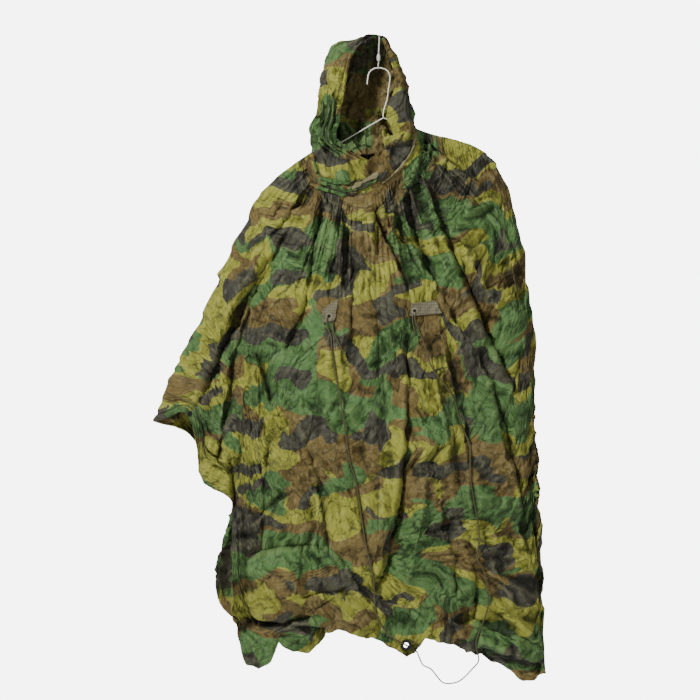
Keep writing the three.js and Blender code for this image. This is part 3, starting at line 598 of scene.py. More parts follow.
def make_ripstop():
    """Height of a fine woven grid with a thicker thread every few millimetres, in metres"""
    tree, given, result = effect("ripstop_weave", ["Place", "Pitch"], ["Height"])
    parts = put(tree, "ShaderNodeSeparateXYZ", {0: given["Place"]}).outputs
    lines = []
    for part in parts[:2]:
        wave = sums(tree, "PINGPONG", sums(tree, "DIVIDE", part, given["Pitch"]), 0.5)
        lines.append(sums(tree, "LESS_THAN", wave, 0.07))
    threads = sums(tree, "MAXIMUM", lines[0], lines[1])
    tree.links.new(sums(tree, "MULTIPLY", threads, RIPSTOP_HEIGHT), result["Height"])
    return tree


def make_stitches():
    """Mask of a dashed row of stitches, a set way in from an edge"""
    tree, given, result = effect("stitch_row", ["Edge", "Along", "Way in"], ["Mask", "Band"])
    off = sums(tree, "ABSOLUTE", sums(tree, "SUBTRACT", given["Edge"], given["Way in"]))
    row = sums(tree, "LESS_THAN", off, STITCH_HALF_WIDTH)
    turn_over = sums(tree, "FRACT", sums(tree, "DIVIDE", given["Along"], STITCH_LENGTH))
    dash = sums(tree, "LESS_THAN", turn_over, 0.7)
    tree.links.new(sums(tree, "MULTIPLY", row, dash), result["Mask"])
    tree.links.new(sums(tree, "LESS_THAN", given["Edge"], given["Way in"]), result["Band"])
    return tree


WOODLAND = make_woodland()
UNEVEN = make_fading()
CRUMPLE = make_crumple()
RIPSTOP = make_ripstop()
STITCHES = make_stitches()


def blank(name, roughness, metallic=0.0):
    """A new material, its nodes and its shader"""
    material = bpy.data.materials.new(name)
    material.use_nodes = True
    tree = material.node_tree
    shader = tree.nodes["Principled BSDF"]
    shader.inputs["Roughness"].default_value = roughness
    shader.inputs["Metallic"].default_value = metallic
    return material, tree, shader


def attribute(tree, label):
    """A mark that the mesh carries"""
    return put(tree, "ShaderNodeAttribute", attribute_name=label).outputs["Fac"]


def bump(tree, shader, height, strength, distance):
    """Raises a surface by a height"""
    made = put(tree, "ShaderNodeBump", {"Height": height, "Strength": strength, "Distance": distance})
    tree.links.new(made.outputs[0], shader.inputs["Normal"])


def woven(tree, parts, pitches, uneven, between, colour, shade):
    """Threads that cross, from 0 between them to 1 on top, and their colour, with painted shade between them
    """
    waves = [sums(tree, "PINGPONG", sums(tree, "DIVIDE", part, pitch), 1.0)
             for part, pitch in zip(parts, pitches)]
    threads = sums(tree, "MULTIPLY", *waves)
    place = put(tree, "ShaderNodeUVMap").outputs[0]
    dyed = use(tree, UNEVEN, {"Place": place, "Color": linear(colour), "Strength": uneven})["Color"]
    shadow = sums(tree, "MULTIPLY_ADD", threads, *between, clamp=True)
    return threads, blend_colour(tree, shadow, dyed, shade)


def flat_parts(tree):
    """How far across and along the flat cloth a point lies"""
    uv = put(tree, "ShaderNodeUVMap").outputs[0]
    return put(tree, "ShaderNodeSeparateXYZ", {0: uv}).outputs


def darker(colour, share, lift=0.0):
    """A share of a colour, as a shader takes it"""
    return tuple(share * c + lift for c in linear(colour)[:3]) + (1,)


def make_cloth(name, move, crease=1.0):
    """Camouflage nylon: print, paler ridges that are partly wear and partly painted highlight, painted shade
    in creases, pinches and hollows, paler inside, ripstop and small creases
    """
    material, tree, shader = blank(name, 0.56)
    uv = put(tree, "ShaderNodeUVMap").outputs[0]
    place = put(tree, "ShaderNodeMapping", {"Vector": uv, "Location": move}).outputs[0]
    printed = use(tree, WOODLAND, {"Place": place})["Color"]
    dyed = use(tree, UNEVEN, {"Place": place, "Color": printed, "Strength": 1.0})["Color"]
    wide = use(tree, CRUMPLE, {"Place": place, "Scale": WIDE_SCALE, "Tilt": WIDE_TILT * crease})
    fine = use(tree, CRUMPLE, {"Place": place, "Scale": FINE_SCALE, "Tilt": FINE_TILT * crease})
    # Painted shade along the creases between the facets
    painted_crease_shade = sums(tree, "MULTIPLY_ADD", wide["Crease"], 0.55, sums(tree, "MULTIPLY", fine["Crease"], 0.3))
    marked = blend_colour(tree, painted_crease_shade, dyed, linear(CREASE_SHADE))
    # Paler ridges, partly wear and partly painted highlight, then painted shade in the pinches and in the
    # hollows
    for label, share, colour in (("ridge", 0.11, RIDGE_WEAR_AND_SHINE), ("ridge", -0.6, PINCH_SHADE),
                                 ("hollow", 0.5, HOLLOW_SHADE)):
        amount = sums(tree, "MULTIPLY", attribute(tree, label), share, clamp=True)
        marked = blend_colour(tree, amount, marked, linear(colour))
    rows = use(tree, STITCHES, {"Edge": attribute(tree, "hem"),
                                "Along": flat_parts(tree)[0],
                                "Way in": HEM_WIDTH - STITCH_INSET})
    sewn = blend_colour(tree, sums(tree, "MULTIPLY", rows["Mask"], 0.7), marked, linear(THREAD_SHADE))
    inside = blend_colour(tree, 0.12, sewn, linear(INSIDE_FADE))
    back = put(tree, "ShaderNodeNewGeometry").outputs["Backfacing"]
    tree.links.new(blend_colour(tree, back, sewn, inside), shader.inputs["Base Color"])
    weave = use(tree, RIPSTOP, {"Place": place, "Pitch": RIPSTOP_PITCH})["Height"]
    folded = sums(tree, "MULTIPLY", rows["Band"], 0.0005)
    stitched = sums(tree, "MULTIPLY_ADD", rows["Mask"], -0.0004, folded)
    height = sums(tree, "ADD", sums(tree, "ADD", weave, stitched),
                  sums(tree, "ADD", wide["Height"], fine["Height"]))
    bump(tree, shader, height, 1.0, 1.0)
    shader.inputs["Sheen Weight"].default_value = 0.05
    shader.inputs["Sheen Roughness"].default_value = 0.4
    shader.inputs["Specular IOR Level"].default_value = 0.2
    return material


def make_tape(name):
    """Woven tape: crossing threads that differ a little in colour"""
    material, tree, shader = blank(name, 0.85)
    threads, colour = woven(tree, flat_parts(tree), (TAPE_PITCH, TAPE_PITCH), 1.6, (-0.8, 0.55),
                            TAPE_TAN, darker(TAPE_TAN, 0.45))
    tree.links.new(colour, shader.inputs["Base Color"])
    bump(tree, shader, threads, 0.8, TAPE_PITCH / 2)
    return material


def make_tab_cloth(name):
    """Faded webbing with a paler stitched ring round its eyelet, and painted shade in the eyelet's hole"""
    material, tree, shader = blank(name, 0.9)
    threads, colour = woven(tree, flat_parts(tree), TAB_PITCHES, 1.8, (-0.9, 0.6),
                            WEBBING_OLIVE, linear(WEBBING_SHADE))
    around = sums(tree, "MULTIPLY", attribute(tree, "ring"), 0.55, clamp=True)
    ringed = blend_colour(tree, around, colour, linear(EYELET_RING))
    # Painted shade: the eyelet's sunken hole is painted near black
    tree.links.new(blend_colour(tree, attribute(tree, "well"), ringed, linear(EYELET_SHADE)),
                   shader.inputs["Base Color"])
    bump(tree, shader, threads, 0.8, 0.0009)
    return material


def make_braid(name):
    """Braided cord: two sets of strands that cross round it"""
    material, tree, shader = blank(name, 0.8)
    parts = flat_parts(tree)
    turns = (sums(tree, "ADD", parts[0], parts[1]), sums(tree, "SUBTRACT", parts[1], parts[0]))
    strands, colour = woven(tree, turns, (BRAID_TWIST, BRAID_TWIST), 1.0, (-0.9, 0.5),
                            CORD_OLIVE, darker(CORD_OLIVE, 0.4))
    tree.links.new(colour, shader.inputs["Base Color"])
    bump(tree, shader, strands, 0.7, BRAID_TWIST / 3)
    return material


def make_enamel(name, colour, roughness, metallic, chips):
    """Painted metal with small chips and scuffs"""
    material, tree, shader = blank(name, roughness, metallic)
    place = put(tree, "ShaderNodeTexCoord").outputs["Object"]
    specks = noise(tree, place, 260.0, 3.0, "3D")
    marked = sums(tree, "GREATER_THAN", specks[0], chips)
    tree.links.new(blend_colour(tree, marked, linear(colour), darker(colour, 0.45, 0.03)),
                   shader.inputs["Base Color"])
    rough = noise(tree, place, 60.0, 2.0, "3D")
    tree.links.new(sums(tree, "MULTIPLY_ADD", rough[0], 0.25, roughness - 0.12),
                   shader.inputs["Roughness"])
    bump(tree, shader, specks[0], 0.15, 0.0006)
    return material


def make_string(name):
    """Twisted cotton string, on Object coordinates, since its pieces are plain solids"""
    material, tree, shader = blank(name, 0.9)
    place = put(tree, "ShaderNodeTexCoord").outputs["Object"]
    parts = put(tree, "ShaderNodeSeparateXYZ", {0: place}).outputs
    slope = sums(tree, "ADD", sums(tree, "MULTIPLY", parts[0], 1.4), parts[2])
    strands = sums(tree, "PINGPONG", sums(tree, "DIVIDE", slope, STRING_TWIST), 1.0)
    fuzz = noise(tree, place, 900.0, 2.0, "3D")
    # Painted shade between the twisted strands
    tree.links.new(blend_colour(tree, sums(tree, "MULTIPLY", strands, 0.5), linear(STRING_WHITE),
                                linear(STRING_SHADE)), shader.inputs["Base Color"])
    bump(tree, shader, sums(tree, "SUBTRACT", fuzz[0], strands), 0.6, 0.0008)
    return material


FRONT_CLOTH = make_cloth("front_cloth", (0.0, 0.0, 0.0))
BACK_CLOTH = make_cloth("back_cloth", (4.3, 2.6, 0.0))
HOOD_CLOTH = make_cloth("hood_cloth", (9.2, 20.3, 0.0), 1.15)
CORD = make_braid("olive_cord")
TAPE = make_tape("seam_tape")
TAB_CLOTH = make_tab_cloth("olive_webbing")
SNAP = make_enamel("black_metal", SNAP_BLACK, 0.38, 0.4, 0.66)
WIRE = make_enamel("white_wire", WIRE_WHITE, 0.4, 0.0, 0.7)
STRING = make_string("white_string")


# Cords, laid along the routes of the source
def lay_cord(node, route):
    """A cord on its route; gives the points that it follows"""
    piece, line = tube(node + "_braid", route, CORD_DIAMETER / 2, CORD_SIDES, CORD)
    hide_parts(node)
    return line


cord_lines = [lay_cord("waist_cord", LONG_CORD),
              lay_cord("waist_cord_short", SHORT_CORD),
              lay_cord("waist_cord_stub", STUB_CORD)]


# Body panels: rays of cloth that run from the neck hole out to the edge, pushed in along the folds
class Panel:
    """One side of the body: its rays, its folds, and which way it faces"""

    def __init__(self, rays, folds, side, hem_depth, gathers, ruffles, seed):
        self.rays, self.folds, self.side, self.hem_depth = rays, folds, side, hem_depth
        self.gathers, self.ruffles, self.seed = gathers, ruffles, seed


FRONT = Panel(FRONT_RAYS, FRONT_FOLDS, -1, FRONT_HEM_DEPTH, 17, 9, 11)
BACK = Panel(BACK_RAYS, BACK_FOLDS, 1, BACK_HEM_DEPTH, 10, 7, 23)


def lattice(place, spacing, seed, flat):
    """Random heights on a square lattice, smooth, or flat between the lattice's triangles"""
    heights = np.random.default_rng(seed).normal(size=(97, 89))
    x, y = place[..., 0] / spacing + 500, place[..., 1] / spacing + 500
    i, j = np.floor(x).astype(int), np.floor(y).astype(int)
    a, b = x - i, y - j
    corner = [[heights[(i + p) % 97, (j + q) % 89] for q in (0, 1)] for p in (0, 1)]
    if flat:
        low = corner[0][0] + a * (corner[1][0] - corner[0][0]) + b * (corner[1][1] - corner[1][0])
        high = corner[0][0] + b * (corner[0][1] - corner[0][0]) + a * (corner[1][1] - corner[0][1])
        return np.where(a > b, low, high)
    a, b = a * a * (3 - 2 * a), b * b * (3 - 2 * b)
    return mix(mix(corner[0][0], corner[1][0], a), mix(corner[0][1], corner[1][1], a), b)


def turn(place, degrees):
    """Flat places turned round the origin"""
    c, s = math.cos(math.radians(degrees)), math.sin(math.radians(degrees))
    return pair(c * place[..., 0] - s * place[..., 1], s * place[..., 0] + c * place[..., 1])


def crushed(place, seed):
    """Height of crumpled cloth at flat places: facets of three sizes and long sharp creases"""
    height = np.zeros(place.shape[:-1])
    for k, (spacing, depth, angle) in enumerate(CRUSH):
        bent = pair(*[lattice(place, 1.7 * spacing, seed + 7 * k + p, False) for p in (1, 2)])
        warped = (place + CRUSH_WARP * spacing * bent) * (1, CRUSH_STRETCH)
        height += depth * MM * lattice(turn(warped, angle), spacing, seed + 7 * k, True)
    for k, (spacing, depth) in enumerate(CREASE_LINES):
        long = turn(place, 12 - 26 * k) * (1, CREASE_STRETCH)
        line = np.abs(lattice(turn(long, 20), spacing, seed + 31 + k, True))
        height -= depth * MM * (np.exp(-line / 0.16) - 0.3)
    return height


def fold_depth(folds, x, z):
    """How far the folds of a panel push its cloth inwards"""
    total = np.zeros(x.shape)
    for x0, z0, x1, z1, bow, width, depth in folds:
        length = math.hypot(x1 - x0, z1 - z0)
        ahead = ((x1 - x0) / length, (z1 - z0) / length)
        k = ((x - x0) * ahead[0] + (z - z0) * ahead[1]) / length
        inside = np.clip(k, 0, 1)
        off = -(x - x0) * ahead[1] + (z - z0) * ahead[0] - 4 * bow * inside * (1 - inside)
        beyond = np.maximum(0, np.abs(k - 0.5) - 0.5) * length
        ends = smooth(-0.02, 0.2, inside) * smooth(-0.02, 0.2, 1 - inside)
        if depth > 0:
            shape = np.where(off < 0, bell(off, 0, STEEP * width), np.exp(-off / (GENTLE * width)))
        else:
            shape = np.exp(-(np.sqrt(off * off + SHARPNESS ** 2) - SHARPNESS) / (0.9 * width))
        total += depth * ends * shape * bell(beyond, 0, width)
    return total


def ledges(x, z):
    """How far the cloth steps back below the ledges"""
    total = np.zeros(x.shape)
    for x0, z0, x1, z1, bow, depth in LEDGES:
        k = (x / MM - x0) / (x1 - x0)
        inside = np.clip(k, 0, 1)
        line = mix(z0, z1, inside) + 4 * bow * inside * (1 - inside)
        line = line + 5 * np.sin(34 * inside) * inside * (1 - inside)
        below = smooth(0, 9, line - z / MM)
        ends = smooth(0, 0.06, k) * smooth(0, 0.06, 1 - k)
        total += depth * MM * below * ends
    return total


def ridge_waves(side, t):
    """How far the crumpled sleeve ridge stands out along its length, the same for both panels"""
    lane = pair(1.2 * t, 0)
    return sum(depth * MM * lattice(lane, spacing, 90 + 5 * side + k, True)
               for k, (spacing, depth) in enumerate(RIDGE_WAVES)) * smooth(0.03, 0.12, t)


def hem_shift(x, z):
    """How far the front's lower edge moves up or down to lie on its hem line, with small crumples"""
    lane = pair(x, 0)
    ragged = sum(depth * MM * lattice(lane, spacing, seed, True) for spacing, depth, seed in RAGGED_EDGE)
    line = np.interp(x, HEM_LINE[:, 0], HEM_LINE[:, 1])
    return (line + ragged - z) * smooth(HEM_TOP, HEM_TOP - 0.04, z)


def panel_points(panel, s, t):
    """The cloth of a panel on a grid: s runs from the left ridge to the right, t from neck to edge"""
    rays = through(panel.rays, np.linspace(0, 1, len(panel.rays)), s)
    table = rays.reshape(len(s), 4, 2).transpose(1, 0, 2).reshape(4, -1)
    places = through(table, STATIONS, t).reshape(len(t), len(s), 2).transpose(1, 0, 2)
    x, z = places[..., 0], places[..., 1]
    s, t = s[:, None], t[None, :]
    for ridge, out, up in SHOULDERS:
        press = np.sin(math.pi * np.minimum(1, t / STATIONS[1]))
        press = press * bell(s, ridge, SHOULDER_WIDTH) * MM
        x = x + out * press
        z = z + up * press
    for side, place in ((-1, s), (1, 1 - s)):
        wave = ridge_waves(side, t) * bell(place, 0, RIDGE_SPREAD)
        x = x + side * 0.85 * wave
        z = z - 0.45 * wave * (1 - smooth(0.85, 1, t))
    x = x - SLEEVE_FULL * bell(t, SLEEVE_PLACE, SLEEVE_SPREAD) * bell(s, 0, SLEEVE_WIDTH)
    if panel is FRONT:
        z = z + hem_shift(x[:, -1:], z[:, -1:]) * smooth(0.92, 1, t)
        z = z + CUFF_RISE * bell(s, CUFF_PLACE, CUFF_SPREAD) * smooth(0.9, 1, t)
    base = mix(NECK_DEPTH, panel.hem_depth, t) * np.sin(math.pi * np.clip(s, 0, 1)) ** ROUNDNESS
    still = smooth(0, RIDGE_STILL, s) * smooth(0, RIDGE_STILL, 1 - s)
    lane = pair(3 * s, 0.4 * t)
    drift = lattice(lane, 0.22, panel.seed + 60, False)
    gather = GATHER_DEPTH * np.sin(2 * math.pi * panel.gathers * s + 1.6 * drift) ** 3
    gather = gather * smooth(0, 0.05, t) * (1 - smooth(0.1, 0.3, t))
    ruffle = RUFFLE_DEPTH * np.sin(2 * math.pi * panel.ruffles * s + 3 * np.sin(5 * s)) * smooth(0.62, 1, t)
    calm = np.ones(x.shape)
    if panel is FRONT:
        for spot_x, spot_z, radius in FLAT_SPOTS:
            near = np.hypot(x - spot_x * MM, z - spot_z * MM) / (radius * MM)
            calm = calm * (1 - np.exp(-near ** 4))
    fan = pair(0.66 * s + 0.03 * drift, 0.22 * t)
    drape = DRAPE_DEPTH * lattice(fan, DRAPE_SPACING, panel.seed + 70, True) * smooth(0.02, 0.16, t)
    drape = drape * (1 - 0.7 * smooth(0.45, 0.85, t))
    low = pair(0.4 * x + 0.12 * z, z)
    sag = SAG_DEPTH * lattice(low, SAG_SPACING, panel.seed + 80, True) * smooth(0.5, 0.85, t)
    gain = mix(TOP_FOLD_GAIN, FOLD_GAIN, smooth(0.2, 0.45, t))
    folds = gain * fold_depth(panel.folds, x, z) * smooth(0, 0.07, t)
    push = (folds + gather + ruffle + drape + sag) * still * calm
    if panel is FRONT:
        push = push + ledges(x, z) * still
    depth = np.maximum(base - push, np.minimum(base, LEAST_DEPTH))
    return np.stack([x, panel.side * depth, z], axis=-1), still * calm


def flat_places(grid, centre):
    """Each point's place on the flat cloth: steps keep their true length and their way in front view"""
    def steps(points, axis):
        """Steps along an axis, at their true length"""
        way = np.diff(points, axis=axis)
        seen = np.maximum(np.hypot(way[..., 0], way[..., 2]), 1e-9)
        scale = np.linalg.norm(way, axis=-1) / seen
        return pair(way[..., 0] * scale, way[..., 2] * scale)

    flat = np.zeros(grid.shape[:2] + (2,))
    flat[centre, 1:] = np.cumsum(steps(grid[centre], 0), axis=0)
    flat[centre] += grid[centre, 0, [0, 2]]
    across = steps(grid, 0)
    flat[centre + 1:] = flat[centre] + np.cumsum(across[centre:], axis=0)
    flat[:centre] = flat[centre] - np.cumsum(across[:centre][::-1], axis=0)[::-1]
    return flat


def ridges(grid, normal):
    """Where the cloth bends outwards or inwards sharply, from -1 to 1"""
    bend = np.zeros(grid.shape[:2])
    for axis in (0, 1):
        step = np.roll(grid, -1, axis) + np.roll(grid, 1, axis) - 2 * grid
        size = np.linalg.norm(np.roll(grid, -1, axis) - grid, axis=-1)
        bend -= (step * normal).sum(-1) / np.maximum(size, 1e-4)
    bend[0] = bend[-1] = 0
    bend[:, 0] = bend[:, -1] = 0
    return np.clip(bend * 1.6, -1, 1)


def blurred(values, reach):
    """Values averaged over a square of neighbours"""
    for axis in (0, 1):
        ends = [(reach + 1, reach) if k == axis else (0, 0) for k in (0, 1)]
        total = np.cumsum(np.pad(values, ends, mode="edge"), axis=axis)
        count = values.shape[axis]
        upper = np.take(total, np.arange(2 * reach + 1, 2 * reach + 1 + count), axis=axis)
        values = (upper - np.take(total, np.arange(count), axis=axis)) / (2 * reach + 1)
    return values


def hollows(grid, normal, reach, depth):
    """How deep each point lies below the cloth round it, from 0 to 1"""
    level = np.stack([blurred(grid[..., k], reach) for k in range(3)], axis=-1)
    return np.clip(((level - grid) * normal).sum(-1) / depth, 0, 1)


def turned_hem(grid, normal, flat, marks, width, gap):
    """Adds a hem to the far edge of a grid: the cloth rolls round and runs back inside"""
    run = np.cumsum(np.linalg.norm(np.diff(grid[:, ::-1], axis=1), axis=-1), axis=1)
    lines = int(np.searchsorted(np.median(run, axis=0), width)) + 1
    edge, before = grid[:, -1:], grid[:, -2:-1]
    out = unit(edge - before)
    rolled = edge + out * gap / 2 - normal[:, -1:] * gap / 2
    inner = grid[:, -2:-2 - lines:-1] - normal[:, -2:-2 - lines:-1] * gap
    full = np.concatenate([grid, rolled, inner], axis=1)
    distance = np.concatenate([np.zeros((len(grid), 1)), run], axis=1)[:, ::-1]
    hem = np.concatenate([distance, np.zeros((len(grid), 1)), run[:, :lines]], axis=1)
    back = 2 * flat[:, -1:] - flat[:, -2:-2 - lines:-1]
    spots = np.concatenate([flat, flat[:, -1:], back], axis=1)
    plain = np.zeros((len(grid), 1 + lines))
    full_marks = {label: np.concatenate([marks[label], plain], axis=1) for label in marks}
    full_marks["hem"] = hem
    return full, spots, full_marks


def keep_behind(grid, places, clear, core, reach):
    """Moves a grid back wherever it would come in front of the places of a cord or a wire"""
    for x, y, z in places:
        near = np.hypot(grid[..., 0] - x, grid[..., 2] - z)
        limit = y + clear - 0.8 * np.maximum(0, near - core)
        touched = (near < reach) & (grid[..., 1] < limit)
        grid[..., 1] = np.where(touched, limit, grid[..., 1])


def node_plane(node):
    """The plane of a flat solid, as y = a x + b z + c, and how far in front of it the solid reaches"""
    places = vertex_places(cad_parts[node])
    terms = np.stack([places[:, 0], places[:, 2], np.ones(len(places))], axis=1)
    fit = np.linalg.lstsq(terms, places[:, 1], rcond=None)[0]
    return fit, float((places[:, 1] - terms @ fit).min())


def behind_snaps(grid):
    """Seats the front cloth on the rear of each snap"""
    for node in SNAPS:
        low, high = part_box(node)
        fit = node_plane(node)[0]
        near = np.hypot(grid[..., 0] - (low[0] + high[0]) / 2, grid[..., 2] - (low[2] + high[2]) / 2)
        seat = fit[0] * grid[..., 0] + fit[1] * grid[..., 2] + fit[2] + SNAP_SEAT
        hold = 1 - smooth(SNAP_REACH, 2.4 * SNAP_REACH, near)
        grid[..., 1] = mix(grid[..., 1], seat, hold)


def make_panel(panel, name, columns, lines, material, hole=None):
    """A panel of the body, crumpled, with its stitched and turned hem"""
    s, t = np.linspace(0, 1, columns), np.linspace(0, 1, lines)
    grid, still = panel_points(panel, s, t)
    flat = flat_places(grid, columns // 2)
    amount = still * smooth(0, 0.03, t)[None, :]
    grid = grid + facing(grid, panel.side) * (crushed(flat, panel.seed) * amount)[..., None]
    if panel is FRONT:
        for line in cord_lines:
            keep_behind(grid, line, CORD_DIAMETER / 2 + CORD_CLEAR, CORD_CORE, CORD_REACH)
        behind_snaps(grid)
    run = np.cumsum(np.linalg.norm(np.diff(grid[:, ::-1], axis=1), axis=-1), axis=1)[:, ::-1]
    run = np.concatenate([run, np.zeros((columns, 1))], axis=1)
    depth = mix(CUFF_GROOVE, HEM_GROOVE, smooth(CUFF_END, CUFF_END + 0.01, s))[:, None]
    grid = grid - facing(grid, panel.side) * (bell(run, HEM_WIDTH, GROOVE_WIDTH) * depth)[..., None]
    normal = facing(grid, panel.side)
    marks = {"ridge": ridges(grid, normal), "hollow": hollows(grid, normal, 4, HOLLOW_DEPTH)}
    full, spots, marks = turned_hem(grid, normal, flat, marks, HEM_WIDTH, HEM_GAP)
    piece = grid_mesh(name, full, spots, material, panel.side, marks, hole)
    return piece


front = make_panel(FRONT, "front_drape", 300, 296, FRONT_CLOTH, GROMMET_HOLE)
back = make_panel(BACK, "back_drape", 260, 230, BACK_CLOTH)
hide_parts("body_front")
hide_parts("body_back")


# Hood: two halves of arcs that run from the rim of the face opening round to the centre seam
def hood_arcs(rows, u, v):
    """Smooth arcs of one half of the hood"""
    table, places = rows[:, 1:] * MM, rows[:, 0]
    at = through(table, places, v)
    upper = rows[:, 0] >= THROAT
    rim = through(table[upper][:, :3], places[upper], np.maximum(v, THROAT))
    low = mix(table[0, :3], table[1, :3], (v / THROAT)[:, None])
    rim = np.where((v < THROAT)[:, None], low, rim)
    u = u[:, None]
    spin = (1 - np.cos(math.pi * u)) / 2
    wide = np.sin(math.pi * np.clip(u, 0, 1)) ** 0.75
    out_x = at[:, 3] - (rim[:, 0] + at[:, 5]) / 2
    out_z = at[:, 4] - (rim[:, 1] + at[:, 6]) / 2
    return np.stack([mix(rim[:, 0], at[:, 5], u) + out_x * wide,
                     mix(rim[:, 2], at[:, 7], spin),
                     mix(rim[:, 1], at[:, 6], spin) + out_z * wide], axis=-1)


def neck_edge(sign, u):
    """The body's neck edge under each column of a hood half"""
    far = 0 if sign < 0 else 1
    points = []
    for k in u:
        panel, centre = (FRONT, FRONT_CENTRE) if k <= 0.5 else (BACK, BACK_CENTRE)
        reach = abs(far - centre) * abs(1 - 2 * k)
        points.append(panel_points(panel, np.array([abs(far - reach)]), np.array([0.0]))[0][0, 0])
    return np.array(points)


def hood_points(rows, sign, u, v, seed):
    """The cloth of one half of the hood, pleated and crumpled, and its flat places"""
    grid = hood_arcs(rows, u, v)
    shift = neck_edge(sign, u) - hood_arcs(rows, u, np.array([0.0]))[:, 0]
    grid = grid + shift[:, None] * (1 - smooth(0, NECK_BLEND, v))[None, :, None]
    across, up = u[:, None], v[None, :]
    grid[..., 2] += CROWN_RISE * bell(grid[..., 0], CROWN_PLACE, CROWN_SPREAD) * smooth(0.82, 0.96, up)
    push = 3 * np.sin(14 * math.pi * across) * smooth(0, 0.05, up) * (1 - smooth(0.06, 0.2, up))
    lane = pair(0.3 * across, 0.5 * up)
    wander = 0.018 * lattice(lane, 0.09, seed + 5, False)
    for u0, v0, u1, v1, width, depth in (LEFT_PLEATS if sign < 0 else RIGHT_PLEATS):
        k = np.clip((up - v0) / (v1 - v0), 0, 1)
        off = (across + wander * smooth(0, 0.2, across) - mix(u0, u1, k)) / width * sign
        if depth > 0:
            shape = np.where(off < 0, bell(off, 0, STEEP), np.exp(-off / GENTLE))
        else:
            shape = np.exp(-np.abs(off))
        push = push + PLEAT_GAIN * depth * shape * np.sqrt(np.sin(math.pi * k))
    lanes = pair(across, 0.22 * up)
    push = push + 5 * lattice(lanes, 0.07, seed + 3, True) * smooth(0.05, 0.2, up)
    still = smooth(0, 0.02, across) * smooth(0, 0.06, 1 - across)
    centre = np.zeros(grid.shape)
    centre[..., 0] = mix(-35, 0, up) * MM
    centre[..., 1] = mix(0, 30, up) * MM
    centre[..., 2] = grid[..., 2]
    grid = grid - unit(grid - centre) * (push * still)[..., None] * MM
    sagging = smooth(0.55, 0.95, across) * smooth(0.02, 0.2, up) * (1 - smooth(0.45, 0.8, up))
    grid[..., 1] -= BACK_SAG * sagging
    flat = flat_places(grid.transpose(1, 0, 2), 0).transpose(1, 0, 2)
    normal = facing(grid, sign)
    quiet_edges = smooth(0, 0.07, 1 - across) * smooth(0, 0.05, up) * (1 - 0.75 * smooth(0.9, 0.99, up))
    throat = np.maximum(smooth(THROAT, THROAT + 0.06, up), smooth(0, 0.1, across))
    crush = mix(OUTER_CRUSH, INNER_CRUSH, smooth(0.5, 0.65, across)) * crushed(flat, seed)
    grid = grid + normal * (crush * quiet_edges * throat)[..., None]
    return grid, flat


def make_hood(rows, sign, name, seed):
    """One half of the hood, tucked in at its foot and rolled over at its rim"""
    u, v = np.linspace(0, 1, HOOD_COLUMNS) ** HOOD_CROWDING, np.linspace(0, 1, HOOD_LEVELS)
    grid, flat = hood_points(rows, sign, u, v, seed)
    foot = grid[:, :1] + (0, 0, -TUCK)
    foot[..., 1] *= 0.93
    foot[..., 0] = mix(foot[..., 0], -0.035, 0.05)
    full = np.concatenate([foot, grid], axis=1)
    spots = np.concatenate([flat[:, :1] - (0, TUCK), flat], axis=1)
    full, spots = full[::-1].transpose(1, 0, 2), spots[::-1].transpose(1, 0, 2)
    normal = facing(full, sign)
    marks = {"ridge": ridges(full, normal), "hollow": hollows(full, normal, 5, HOOD_HOLLOW)}
    full, spots, marks = turned_hem(full, normal, spots, marks, RIM_TURN, RIM_ROLL)
    piece = grid_mesh(name, full, spots, HOOD_CLOTH, sign, marks)
    return piece, grid


hood_left, left_grid = make_hood(HOOD_LEFT, -1, "hood_left_drape", 41)
hood_right, right_grid = make_hood(HOOD_RIGHT, 1, "hood_right_drape", 57)
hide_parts("hood_left")
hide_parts("hood_right")


# Throat: the gathered cloth that fills the foot of the face opening
def make_throat():
    """Gathered cloth between the two rims, with a shelf that runs back from its upper edge"""
    rows, a = np.linspace(*THROAT_ROWS, THROAT_LINES), np.linspace(0, 1, THROAT_COLUMNS)
    levels = rows * (left_grid.shape[1] - 1)
    low, k = levels.astype(int), (levels % 1)[:, None]
    sides = [mix(g[0, low], g[0, low + 1], k) for g in (left_grid, right_grid)]
    across, up = a[:, None, None], np.linspace(0, 1, THROAT_LINES)[None, :, None]
    grid = mix(sides[0][None], sides[1][None], across)
    arch = np.sin(math.pi * across)
    drop = np.concatenate([0 * arch * up, 0.026 * arch * up, -0.014 * arch * up], axis=-1)
    grid = grid + drop + (0, 0.004, 0)
    back = np.linspace(0.02, 1, SHELF_LINES)[None, :, None]
    way = np.broadcast_arrays(-0.1 * (grid[:, -1:, :1] + 0.035) * back, SHELF_DEPTH * back,
                              0.085 * smooth(0.45, 1, back) * (0.35 + 0.65 * arch) - 0.016 * back)
    shelf = grid[:, -1:] + np.concatenate(way, axis=-1)
    grid = np.concatenate([grid, shelf], axis=1)
    flat = flat_places(grid[:, ::-1], THROAT_COLUMNS // 2)[:, ::-1]
    normal = facing(grid, 1)
    levels = np.linspace(0, 1, grid.shape[1])[None, :]
    lanes = pair(0.12 * across[..., 0], 0.045 * levels)
    rough = THROAT_CRUSH * crushed(1.3 * flat, 83) + 3.5 * MM * lattice(lanes, 0.011, 84, True)
    edge = smooth(0, 0.12, across[..., 0]) * smooth(0, 0.12, 1 - across[..., 0])
    grid = grid + normal * (rough * edge)[..., None]
    hanger = vertex_places(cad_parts["hanger_frame"])
    keep_behind(grid, hanger[hanger[:, 0] > ARM_SEEN], ARM_CLEAR, ARM_CORE, ARM_REACH)
    normal = facing(grid, 1)
    marks = {"ridge": ridges(grid, normal), "hollow": hollows(grid, normal, 4, 4 * MM)}
    full, spots, marks = turned_hem(grid, normal, flat, marks, THROAT_HEM, THROAT_ROLL)
    piece = grid_mesh("throat_gusset", full, spots, HOOD_CLOTH, -1, marks)
    return piece


throat = make_throat()


